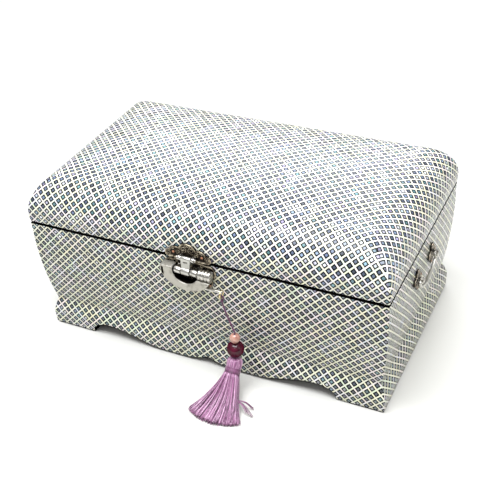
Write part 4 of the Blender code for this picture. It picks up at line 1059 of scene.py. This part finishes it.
def lobedOutline(lobes, shrink, edge, way, steps):
    # the outline of mirrored round lobes seen from the second lobe's height, cut straight at an edge
    centre = lobes[1][1]
    circles = [(sign * x, z - centre, radius - shrink) for x, z, radius in lobes for sign in (-1, 1)]
    points = []
    for angle in evenly(math.tau, steps)[:-1]:
        across, rise = math.cos(angle), math.sin(angle)
        reach = 0.0
        for x, z, radius in circles:
            along = x * across + z * rise
            inside = radius ** 2 - x ** 2 - z ** 2 + along ** 2
            if inside >= 0:
                reach = max(reach, along + math.sqrt(inside))
        if (centre + reach * rise - edge) * way < shrink:
            reach = (edge + way * shrink - centre) / rise
        points.append((reach * across, centre + reach * rise))
    return points


def spiral(x, z, radius, turns, start, hand, steps=26):
    # a scroll in the plate's plane, from its eye outwards
    points = []
    for share in evenly(1, steps):
        angle = start + hand * math.tau * turns * share
        reach = radius * (0.16 + 0.84 * share)
        points.append((x + reach * math.cos(angle), z + reach * math.sin(angle)))
    return points


def wireOn(shape, points, toPlace, radius, closed=False):
    route = [toPlace(*point) for point in points]
    tube(shape, route + route[:1] if closed else route, radius, 6, ends=not closed)


def flower(shape, x, z, toPlace, petal):
    # five round petals about a round middle, all in the second material
    for leaf in range(5):
        turn = math.tau * leaf / 5 + 0.3
        addBall(shape, toPlace(x + petal * 1.5 * math.cos(turn), z + petal * 1.5 * math.sin(turn)), petal, 2, 1)
    addBall(shape, toPlace(x, z), petal * 0.85, 2, 1)


def dressPlate(name, body, isLug):
    # the plate itself is dark, and what stands off it is bright
    for face in refine(name, body, [antiqueAndShade, nickel], 0.00018).data.polygons:
        if isLug(face.center):
            face.material_index = 1


def makeScrolls(name, plate, front):
    def toPlace(x, z):
        return place(clasp["shift"] + x, front, plate["datum"] + z)

    shape = bmesh.new()
    way = plate["way"]
    for shrink, wire in ((clasp["rim"], clasp["rim"]), (clasp["rim"] * plate["innerRim"], clasp["wire"])):
        outline = lobedOutline(plate["lobes"], shrink, way * clasp["margin"], way, plate["points"])
        wireOn(shape, outline, toPlace, wire, closed=True)
    for hand in (-1, 1):
        for x, z, radius, turns, start, turnWay in plate["scrolls"]:
            start = math.pi - start if plate["facing"] and hand < 0 else start
            wireOn(shape, spiral(hand * x, z, radius, turns, start, turnWay * hand), toPlace, clasp["wire"])
        for x, z in plate["flowers"]:
            flower(shape, hand * x, z, toPlace, plate["petal"])
    finish(name + "_scrolls", shape, plate["body"], [filigree, copper])


for name, plate in plates.items():
    front = -halfY - plate["proud"] - clasp["gap"] - clasp["plate"]
    dressPlate(name, plate["body"], lambda centre: centre.y < caseY + front - 0.00005)
    makeScrolls(name, plate, front)
refine("hasp", "hasp", [brushed], 0.00022, 3)
refine("hasp_pin", "lid", [nickel], 0.00015)
print("clasp plates made")


# Padlock: a cast crescent, its drawn bolt with four turned ridges, and the push key with its ring
rod = {"off": 0.0060, "drop": 0.0059, "radius": 0.00125, "endInset": 0.0015}
lock = {"thick": 0.0070, "outerHalf": 0.0198, "outerDeep": 0.0158, "centre": (0.0003, 0.0010),
        "innerHalf": 0.0096, "innerDeep": 0.0084, "hornTop": 0.0034, "shoulder": 0.0043, "bevel": 0.0008,
        "steps": 56, "boltStart": 0.0095, "boltLength": 0.0102, "boltRadius": 0.0039, "boltNeck": 0.0031,
        "ridges": 4, "play": 0.0002, "past": 0.002, "keyLead": 0.0003, "keyDrop": 0.0112, "keyRadius": 0.0011,
        "keyHole": 0.0014, "keyInner": 0.0030, "keyOuter": 0.0270, "ringX": 0.0260, "ringRadius": 0.0026,
        "ringSag": 0.0021, "slotIn": 0.0023, "slotWide": 0.0017, "slotTall": 0.0062, "slotDeep": 0.0012,
        "slotDrop": 0.0010}
rodPlace = place(clasp["shift"], -halfY - rod["off"], rimZ - rod["drop"])
keyPlace = rodPlace - Vector((0, 0, lock["keyDrop"]))


def alongX(distance):
    return Vector((distance, 0, 0))


def makeLockBody():
    centreX, centreZ = lock["centre"]
    points = [(-lock["innerHalf"], lock["hornTop"]), (centreX - lock["outerHalf"], lock["hornTop"])]
    end = -math.asin((centreZ + lock["shoulder"]) / lock["outerDeep"])
    start = -math.asin(lock["shoulder"] / lock["innerDeep"])
    for angle in [turn - math.pi for turn in evenly(end + math.pi, lock["steps"])]:
        points.append((centreX + lock["outerHalf"] * math.cos(angle),
                       centreZ + lock["outerDeep"] * math.sin(angle)))
    for angle in [start - turn for turn in evenly(math.pi + start, lock["steps"])]:
        points.append((lock["innerHalf"] * math.cos(angle), lock["innerDeep"] * math.sin(angle)))
    shape = bmesh.new()
    face = shape.faces.new([shape.verts.new(rodPlace + Vector((x, -lock["thick"] / 2, z))) for x, z in points])
    made = onlyVerts(bmesh.ops.extrude_face_region(shape, geom=[face])["geom"])
    bmesh.ops.translate(shape, verts=made, vec=(0, lock["thick"], 0))
    tidyNormals(shape)
    edges = [edge for edge in shape.edges if edge.calc_face_angle(0) > math.radians(50)]
    bmesh.ops.bevel(shape, geom=edges, offset=lock["bevel"], affect="EDGES", segments=4, profile=0.5,
                    material=-1)
    slot = rodPlace + Vector((-lock["outerHalf"] + lock["slotIn"], -lock["thick"] / 2, -lock["slotDrop"]))
    reach = Vector((lock["slotWide"] / 2, lock["slotDeep"], lock["slotTall"] / 2))
    shape = cutShape(shape, [
        rodCutter(rodPlace - alongX(lock["outerHalf"] + lock["past"]),
                  rodPlace - alongX(lock["innerHalf"] - lock["past"]), rod["radius"] + lock["play"]),
        rodCutter(keyPlace + alongX(lock["keyInner"] - lock["keyLead"]),
                  keyPlace + alongX(lock["keyInner"] + lock["outerHalf"]), lock["keyHole"]),
        boxCutter(slot - reach, slot + reach)])
    # the wall of the hollow and the inside of the slot in the left horn take the dark metal: painted shade in the
    # hollow behind the barrels and in the slot
    for face in shape.faces:
        away = face.calc_center_median() - rodPlace
        inHollow = (away.x / lock["innerHalf"]) ** 2 + (away.z / lock["innerDeep"]) ** 2 < 1.04
        inset = face.calc_center_median() - slot
        inSlot = (abs(inset.x) < reach.x + 0.00002 and abs(inset.z) < reach.z + 0.00002
                  and 0.0001 < inset.y < reach.y + 0.00002)
        if (inHollow and abs(face.normal.y) < 0.5) or inSlot:
            face.material_index = 1
    finish("padlock_body_cast", shape, "padlock", [pitted, antiqueAndShade], 38, "padlock_body", outward=False)


def makeBolt():
    tip = -lock["outerHalf"] + rod["endInset"]
    profile = [(tip, 0.0)]
    for angle in evenly(math.pi / 2, 5)[1:]:
        profile.append((tip + rod["radius"] * 0.5 * (1 - math.cos(angle)), rod["radius"] * math.sin(angle)))
    profile.append((lock["boltStart"], rod["radius"]))
    pitch = lock["boltLength"] / lock["ridges"]
    for ridge in range(lock["ridges"]):
        for share in evenly(1, 8):
            swell = math.sin(math.pi * share) ** 0.6
            profile.append((lock["boltStart"] + pitch * (ridge + 0.06 + 0.88 * share),
                            lock["boltNeck"] + (lock["boltRadius"] - lock["boltNeck"]) * swell))
    profile.append((lock["boltStart"] + lock["boltLength"], 0.0))
    shape = bmesh.new()
    spun(shape, profile, rodPlace, (1, 0, 0), 40)
    finish("padlock_bolt_turned", shape, "bolt", [nickel], 50, "padlock_bolt")


def makeKey():
    # a rod with a waist near its end, and a wire ring
    radius, inner, outer = lock["keyRadius"], lock["keyInner"], lock["keyOuter"]
    profile = [(inner, 0.0), (inner + 0.0001, radius * 0.8), (inner + radius / 2, radius)]
    profile += [(outer - radius * back, radius * share) for back, share in (
        (2.2, 1), (2.0, 0.78), (1.6, 0.78), (1.4, 1), (0.4, 1), (0, 0.6), (0, 0))]
    shape = bmesh.new()
    spun(shape, profile, keyPlace, (1, 0, 0), 24)
    centre = rodPlace + Vector((lock["ringX"], 0, -lock["keyDrop"] - lock["ringSag"]))
    ring = [centre + Vector((0, math.cos(angle), math.sin(angle))) * lock["ringRadius"]
            for angle in evenly(math.tau, 40)]
    tube(shape, ring, tassel["ringWire"], 10, ends=False, material=1)
    merge(shape, 1e-6)
    finish("padlock_key_and_ring", shape, "key", [nickel, goldWire], 40, "padlock_key", "pale_brass")


makeLockBody()
makeBolt()
makeKey()
print("padlock made")


# Side handles: leaf plates with wire veins, and a bright bow with a ball at each end
handle = {"y": -0.003, "height": 0.0770, "spacing": 0.034, "off": 0.0036, "eye": 0.0026, "leafHalf": 0.0082,
          "leafTall": 0.0088, "wave": 0.26, "points": 4, "radius": 0.00115, "past": 0.0003,
          "shoulder": 0.0031, "drop": 0.0106, "bend": 0.0016, "power": 1.25, "ball": 0.00175,
          "ballIn": 0.0002, "ballDown": 0.0003, "steps": 44, "swell": 0.20, "leafRim": 0.00034,
          "scroll": 0.0011, "petal": 0.00026}


def leafPoint(angle, share):
    reach = (1 + handle["wave"] * math.cos(handle["points"] * angle)) / (1 + handle["wave"]) * share
    return handle["leafHalf"] * reach * math.cos(angle), handle["leafTall"] * reach * math.sin(angle)


def makeLeafVeins(name, front, centreY):
    def toPlace(y, z):
        return place(front, centreY + y, handle["height"] + z)

    shape = bmesh.new()
    for share, wire in ((0.94, handle["leafRim"]), (0.74, clasp["wire"])):
        outline = [leafPoint(angle, share) for angle in evenly(math.tau, 72)[:-1]]
        wireOn(shape, outline, toPlace, wire, closed=True)
    for leaf in range(handle["points"]):
        tilt = math.tau * leaf / handle["points"]
        for hand in (-1, 1):
            y = math.cos(tilt + hand * 0.20) * handle["leafHalf"] * 0.50
            z = math.sin(tilt + hand * 0.20) * handle["leafTall"] * 0.50
            scroll = spiral(y, z, handle["scroll"], 1.3, tilt + hand * 1.6, hand, 18)
            wireOn(shape, scroll, toPlace, clasp["wire"])
        flower(shape, *leafPoint(tilt, 0.84), toPlace, handle["petal"])
        y, z = leafPoint(tilt + math.pi / 4, 0.80)
        wireOn(shape, [(y * share, z * share) for share in (0.42, 0.7, 1.0)], toPlace, clasp["wire"])
    finish(name, shape, "case", [agedWire, copper])


def makeBail(side, sign):
    inner = handle["spacing"] / 2 - handle["eye"] / 2 - handle["past"]
    outer = handle["spacing"] / 2 + handle["shoulder"]
    path = [(inner, 0)]
    for angle in evenly(math.pi / 2, 8):
        path.append((outer - handle["bend"] * (1 - math.sin(angle)), -handle["bend"] * (1 - math.cos(angle))))
    for angle in evenly(math.pi / 2, handle["steps"] // 2)[1:]:
        dip = (handle["drop"] - handle["bend"]) * math.sin(angle) ** handle["power"]
        path.append((outer * math.cos(angle), -handle["bend"] - dip))
    path += [(-y, z) for y, z in reversed(path[:-1])]

    def toPlace(y, z):
        return place(sign * (halfX + handle["off"]), handle["y"] + y, handle["height"] + z)

    shape = bmesh.new()
    middle = (len(path) - 1) / 2
    radii = [handle["radius"] * (1 + handle["swell"] * math.exp(-((step - middle) / 6) ** 2))
             for step in range(len(path))]
    tube(shape, [toPlace(y, z) for y, z in path], radii, 14)
    for way in (-1, 1):
        addBall(shape, toPlace(way * (outer - handle["ballIn"]), -handle["ballDown"]), handle["ball"], 3)
    finish(side + "_bail_cast", shape, side + "_bail", [brushed], replaced=side + "_bail")


for side, sign in (("left", -1), ("right", 1)):
    front = halfX + clasp["gap"] + clasp["plate"]
    for end, way in (("front", -1), ("back", 1)):
        dressPlate(side + "_eyeplate_" + end, "case", lambda centre: abs(centre.x) > front + 0.00005)
        makeLeafVeins(side + "_leaf_veins_" + end, sign * front, handle["y"] + way * handle["spacing"] / 2)
    makeBail(side, sign)
print("handles made")


# Tassel: two beads, a bound head of threads and a skirt that settles on the table
skirt = {"topRadius": 0.0056, "halfWide": 0.0210, "arc": 0.0340, "drift": -0.0015, "rest": 0.0002,
         "halfThick": 0.0016, "reach": 0.0355, "handleShare": 0.42, "strands": 900, "batches": 45,
         "wire": 0.00018, "rings": 12, "tuck": 0.022, "clumps": 17, "headThreads": 72, "headWire": 0.00026,
         "headCore": 0.0004, "headSink": 0.00022, "windings": 11, "bandCore": 0.0008, "bandSink": 0.0003,
         "bandEdge": 0.0003, "joint": 0.0003, "clumpPull": 0.55, "toneMiddle": 0.60, "shadeBetweenClumps": 0.50,
         "lightOnTop": 0.24, "toneSpread": 0.44}
wisp = {"leave": 0.40, "aside": 0.0100, "threads": 5, "wire": 0.00022, "spread": 0.0005,
        "ends": ((0.0547, -0.1168), (0.0523, -0.1093), (0.0509, -0.1162))}
rng = random.Random(11)
wide = Vector((1, 0, 0))
topAngle, bandAngle = math.radians(tassel["topLean"]), math.radians(tassel["bandLean"])


def lean(angle):
    return Vector((0, -math.sin(angle), -math.cos(angle)))


bandWay = lean(bandAngle)
headTop = beadPlace + lean(topAngle) * (tassel["beadRadius"] + skirt["joint"])


def headCentre(share):
    turn = math.radians(tassel["bandLean"] - tassel["topLean"])
    angle = topAngle + turn * share
    bend = tassel["headLength"] / turn
    return headTop + Vector((0, (math.cos(angle) - math.cos(topAngle)) * bend,
                             -(math.sin(angle) - math.sin(topAngle)) * bend)), lean(angle)


bandStart = headCentre(1)[0] + bandWay * skirt["joint"]
bandEnd = bandStart + bandWay * (tassel["bandLength"] + skirt["joint"])


def strandShape():
    shape = bmesh.new()
    shape.verts.layers.float.new("tone")
    return shape


def paintTone(shape, verts, value):
    layer = shape.verts.layers.float["tone"]
    for vert in verts:
        vert[layer] = value


def makeBead(name, centre, radius, material):
    # a round bead with a dimple at each end of its bore
    bore = tassel["cordRadius"] + 0.0002
    start = math.asin(tassel["beadEnd"] * 0.6 / radius)
    face = radius * math.cos(start) - 0.0004
    profile = [(-face, bore)]
    for angle in [start + turn for turn in evenly(math.pi - 2 * start, 28)]:
        profile.append((-radius * math.cos(angle), radius * math.sin(angle)))
    shape = bmesh.new()
    spun(shape, profile + [(face, bore), (-face, bore)], centre, beadsDown, 48)
    return finish(name + "_round", shape, "tassel", [material], 50, name)


def makeHead():
    shape = strandShape()
    shares = ((0, 0.30), (0.05, 0.50), (0.15, 0.80), (0.30, 0.94), (0.50, 1.0), (0.75, 1.0), (1.0, 0.95))
    swell = catmull([Vector((*share, 0)) for share in shares], 3)

    def onHead(point, turn, inset):
        centre, way = headCentre(clamp(point.x))
        radius = max(tassel["headRadius"] * point.y - inset, 0.0003)
        return centre + (wide * math.cos(turn) + way.cross(wide) * math.sin(turn)) * radius

    def core(column, row):
        return onHead(swell[row], math.tau * column / 40, skirt["headCore"])

    skin(shape, 40, len(swell) - 1, core, closed=True)
    fillHoles(shape)
    # the core under the threads is painted dark: painted shade seen between the threads
    paintTone(shape, shape.verts, 0.1)
    for thread in range(skirt["headThreads"]):
        part = strandShape()
        turn = math.tau * (thread + rng.uniform(-0.25, 0.25)) / skirt["headThreads"]
        sway = rng.uniform(-0.05, 0.05)
        lift = rng.uniform(-0.00012, 0.00006)
        route = [onHead(point, turn + sway * point.x, skirt["headSink"] - lift) for point in swell]
        route.append(route[-1] + bandWay * 0.0009)
        paintTone(part, tube(part, route, skirt["headWire"], 5), 0.15 + 0.80 * rng.random())
        append(shape, part)
    return finish("tassel_head_threads", shape, "tassel", [silk], replaced="tassel_head")


def makeBand():
    # strands wound round the neck, a little slanted, in two layers
    shape = strandShape()
    thick = bandWay.cross(wide)
    length, core = tassel["bandLength"], tassel["bandRadius"] - skirt["bandCore"]
    spun(shape, [(0.0001, 0.0), (0.0002, core), (length - 0.0002, core), (length - 0.0001, 0.0)],
         bandStart, bandWay, 40)
    # the core under the windings is painted dark: painted shade seen between the windings
    paintTone(shape, shape.verts, 0.15)
    pitch = (length - skirt["bandEdge"] * 2) / (skirt["windings"] - 1)
    for winding in range(skirt["windings"]):
        along = skirt["bandEdge"] + pitch * winding
        slant = rng.uniform(0.0002, 0.0005) * (1 - (along / length * 2 - 1) ** 2)
        bulge = tassel["bandRadius"] - skirt["bandSink"] - rng.uniform(0, 0.00016)
        route = []
        for turn in evenly(math.tau, 36):
            route.append(bandStart + bandWay * (along + slant * math.cos(turn + 0.6))
                         + (wide * math.cos(turn) + thick * math.sin(turn)) * bulge)
        paintTone(shape, tube(shape, route, pitch * 0.56, 6, ends=False), 0.05 + 0.65 * rng.random())
    merge(shape, 1e-7)
    return finish("tassel_band_windings", shape, "tassel", [bindingSilk], replaced="tassel_band")


def skirtFrame(share):
    # the fan's middle line, its three directions and its half sizes
    start = bandEnd
    end = Vector((start.x + skirt["drift"], start.y - skirt["reach"], skirt["halfThick"] + skirt["rest"]))
    length = skirt["reach"] * skirt["handleShare"]
    one = start + bandWay * length
    two = end + Vector((0, length, 0))
    left = 1 - share
    centre = start * left ** 3 + one * 3 * left ** 2 * share + two * 3 * left * share ** 2 + end * share ** 3
    ahead = ((one - start) * left ** 2 + (two - one) * 2 * left * share + (end - two) * share ** 2).normalized()
    across = (wide - ahead * wide.dot(ahead)).normalized()
    halves = [skirt["topRadius"] + (half - skirt["topRadius"]) * share
              for half in (skirt["halfWide"], skirt["halfThick"])]
    return centre, ahead, across, ahead.cross(across), *halves


def strandRoute(aside, deep, length, wander, phaseOne, phaseTwo, clump):
    route = []
    for step in evenly(1, skirt["rings"]):
        share = (step * (1 + skirt["tuck"]) - skirt["tuck"]) * length
        centre, ahead, sideways, thick, halfWide, halfThick = skirtFrame(min(share, 1.0))
        pull = (clump - aside) * skirt["clumpPull"] * math.sin(math.pi * clamp(share)) ** 0.8
        across = (aside + pull) * halfWide + wander * share * math.sin(phaseOne + share * 5.0)
        depth = deep * halfThick + wander * 0.35 * share * math.sin(phaseTwo + share * 6.0)
        back = across ** 2 / (2 * skirt["arc"]) * share
        past = max(share - 1, 0) * skirt["reach"] * 1.4
        point = centre + sideways * across + thick * depth + ahead * (past - back)
        point.z = max(point.z, skirt["wire"] + 0.00005)
        route.append(point)
    return route


def makeSkirt():
    shape = strandShape()
    clumps = [-0.95 + 1.9 * (index + rng.uniform(-0.25, 0.25)) / (skirt["clumps"] - 1)
              for index in range(skirt["clumps"])]
    radii = [skirt["wire"] * (1.15 - taper) for taper in evenly(0.25, skirt["rings"])]
    for _ in range(skirt["batches"]):
        part = strandShape()
        for _ in range(skirt["strands"] // skirt["batches"]):
            turn = rng.uniform(0, math.tau)
            reach = math.sqrt(rng.uniform(0.30, 1.0))
            aside, deep = reach * math.cos(turn), reach * math.sin(turn)
            clump = min(clumps, key=lambda value: abs(value - aside))
            length = 1.0 + rng.uniform(-0.070, 0.0)
            route = strandRoute(aside, deep, length, rng.choice((0.0002, 0.0004, 0.0009)),
                                rng.uniform(0, math.tau), rng.uniform(0, math.tau), clump)
            # strands in the gaps between clumps are painted darker and strands on top of the fan lighter: painted
            # shade and painted light, with a random spread of tone
            tone = (skirt["toneMiddle"] - skirt["shadeBetweenClumps"] * abs(clump - aside) * skirt["clumps"]
                    + skirt["lightOnTop"] * deep + rng.uniform(-skirt["toneSpread"], skirt["toneSpread"]))
            paintTone(part, tube(part, route, radii, 4), clamp(tone))
        append(shape, part)
    return finish("tassel_skirt_threads", shape, "tassel", [silk], replaced="tassel_skirt")


def makeStrays():
    # three wisps that leave the fan at its right side
    shape = strandShape()
    centre, _, sideways = skirtFrame(wisp["leave"])[:3]
    start = centre + sideways * wisp["aside"]
    for x, y in wisp["ends"]:
        end = place(x, y, wisp["wire"] * 2)
        bow = start.lerp(end, 0.5) + Vector((0.0006, 0.0, 0.0022))
        for _ in range(wisp["threads"]):
            off = Vector((rng.uniform(-1, 1), rng.uniform(-1, 1), rng.uniform(0, 1))) * wisp["spread"]
            tip = end.lerp(bow, rng.uniform(0, 0.3))
            route = catmull([start + off, bow + off * 1.6, tip + off * 2.2], 10)
            for point in route:
                point.z = max(point.z, wisp["wire"])
            paintTone(shape, tube(shape, route, wisp["wire"], 5), rng.uniform(0.0, 0.45))
    return finish("tassel_stray_threads", shape, "tassel", [silk])


onCord = [tasselKnot, makeBead("pearl_bead", pearlPlace, tassel["pearlRadius"], peachPearl),
          makeBead("garnet_bead", beadPlace, tassel["beadRadius"], garnetGlass),
          makeHead(), makeBand(), makeSkirt(), makeStrays()]
print("tassel made")


# Inside and small parts: boards, pads, tray and hinges by the CAD's shapes, then the padded pieces
dressed = (("lining_", "case", velvet, 0.0007, 3), ("tray_ledge_", "case", velvet, 0.0008, 3),
           ("corner_block_", "case", bareWood, 0.0005, 2), ("foot_pad_", "case", blackFelt, 0.0003, 2),
           ("case_floor", "case", bareWood, 0.0003, 2), ("lid_lining", "lid", velvet, 0.0005, 2),
           ("mirror_frame", "lid", blackLacquer, 0.0004, 3), ("mirror", "lid", mirrorGlass, 0.0006, 2),
           ("tray_frame", "tray", velvet, 0.0004, 3), ("tray_floor", "tray", velvet, 0.0003, 2),
           ("tray_divider", "tray", velvet, 0.0008, 3), ("hinge_leaf_case_", "case", brass, 0.00015, 2),
           ("hinge_leaf_lid_", "lid", brass, 0.00015, 2), ("hinge_pin_", "case", brass, 0.00012, 2))
padding = {"cushionSide": 60, "rollSteps": 90, "rollSides": 20, "tug": 0.0022, "ripple": 0.00008}


def makeCushion():
    low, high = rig.box("floor_cushion")
    middle, half = (low + high) / 2, (high - low) / 2
    columns, rows = padding["cushionSide"], padding["cushionSide"] // 2

    def top(column, row):
        across, along = 2 * column / columns - 1, 2 * row / rows - 1
        crown = (1 - abs(across) ** 10) ** 0.5 * (1 - abs(along) ** 8) ** 0.5
        pull = padding["tug"] * (1 - across ** 2) * abs(along) ** 3
        tug = padding["tug"] * (1 - along ** 2) * abs(across) ** 3
        x = middle.x + half.x * across * (1 - tug / half.x)
        y = middle.y + half.y * along * (1 - pull / half.y)
        ripple = padding["ripple"] * noise.noise(Vector((x, y, 0)) * 70)
        return Vector((x, y, low.z + 0.0005 + (2 * half.z - 0.0006 + ripple) * crown))

    shape = bmesh.new()
    skin(shape, columns, rows, top)
    for vert in drawOut(shape, openEdges(shape)):
        vert.co.z = low.z
    fillHoles(shape)
    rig.padded(finish("floor_cushion_padded", shape, "case", [velvet], 50, "floor_cushion"), fill=0.8)


def makeRoll(name):
    low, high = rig.box(name)
    middle, half = (low + high) / 2, (high - low) / 2
    columns, rows = padding["rollSides"], padding["rollSteps"]

    def spot(column, row):
        along = 2 * row / rows - 1
        angle = math.tau * column / columns
        y, z = math.cos(angle), math.sin(angle)
        power = 0.70 if z < 0 else 1.0      # flatter where it lies on the tray
        ripple = 1 - 0.012 * (0.5 + 0.5 * math.cos(along * half.x * 520))
        reach = (1 - abs(along) ** 16) ** 0.5 * ripple
        return middle + Vector((half.x * along, half.y * math.copysign(abs(y) ** power, y) * reach,
                                half.z * math.copysign(abs(z) ** power, z) * reach))

    shape = bmesh.new()
    skin(shape, columns, rows, spot, closed=True)
    merge(shape, 1e-6)
    fillHoles(shape)
    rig.padded(finish(name + "_padded", shape, "tray", [ringVelvet], replaced=name), fill=0.9)


for key, body, material, bevel, segments in dressed:
    for name in [name for name in nodes if name == key or key[-1] == "_" and name.startswith(key)]:
        refine(name, body, [material], bevel, segments)
makeCushion()
for index in range(1, 5):
    makeRoll(f"ring_roll_{index}")
print("inside made")


# Floor and light
studio = {"floor": (0.62, 0.615, 0.585), "horizon": 0.08, "zenith": 0.93}
# each lamp's place, target, size, power and colour
lamps = {"back_softbox": ((-0.34, 0.96, 0.82), (0, 0, 0.12), (1.0, 0.7), 7.6, (0.95, 0.97, 1.0)),
         "top_softbox": ((0.02, -0.28, 1.05), (0, 0, 0.1), (1.0, 0.6), 19.0, (0.95, 0.97, 1.0)),
         "right_softbox": ((0.95, 0.10, 0.50), (0.05, 0, 0.04), (0.6, 0.5), 1.4, (1.0, 0.99, 0.95)),
         "window": ((0.22, -0.72, 0.72), (0.03, -0.09, 0.04), (0.12, 0.10), 0.5, (1.0, 1.0, 1.0))}


def makeStage():
    shape = bmesh.new()
    bmesh.ops.create_grid(shape, x_segments=1, y_segments=1, size=4.0)
    mesh = toMesh("floor", shape)
    material, tree, _ = newMaterial("studio_floor")
    setShader(tree, {"Base Color": studio["floor"], "Roughness": 0.8})
    mesh.materials.append(material)
    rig.stage(addObject("floor", mesh))
    # the room is brighter overhead than at its walls
    scene.world = bpy.data.worlds.new("studio")
    scene.world.use_nodes = True
    sky = scene.world.node_tree
    ahead = sky.nodes.new("ShaderNodeTexCoord").outputs["Generated"]
    height = calc(sky, "MAXIMUM", addNode(sky, "SeparateXYZ", (ahead,)).outputs[2], 0.0)
    background = sky.nodes["Background"].inputs
    feed(sky, (1.0, 1.0, 1.0), background[0])
    feed(sky, calc(sky, "MULTIPLY_ADD", height, studio["zenith"], studio["horizon"]), background[1])


makeStage()
for name, (position, target, size, power, color) in lamps.items():
    lamp = bpy.data.lights.new(name, "AREA")
    lamp.shape = "RECTANGLE"
    lamp.size, lamp.size_y = size
    lamp.energy = power
    lamp.color = color
    holder = addObject(name, lamp)
    holder.location = position
    holder.rotation_euler = (Vector(target) - Vector(position)).to_track_quat("-Z", "Y").to_euler()
print("stage set")

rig.cord(tasselCord, exit=cordRoute[0], length=routeLength(cordRoute), diameter=0.0012, far_end="object",
        stiffness="limp", lay="hanging", path=cordRoute, with_pieces=onCord)

sizes = {"cad": [list(corner) for corner in cadBounds], "scene": [list(corner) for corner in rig.bounds()]}
with open("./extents.json", "w") as sizeFile:
    json.dump(sizes, sizeFile)
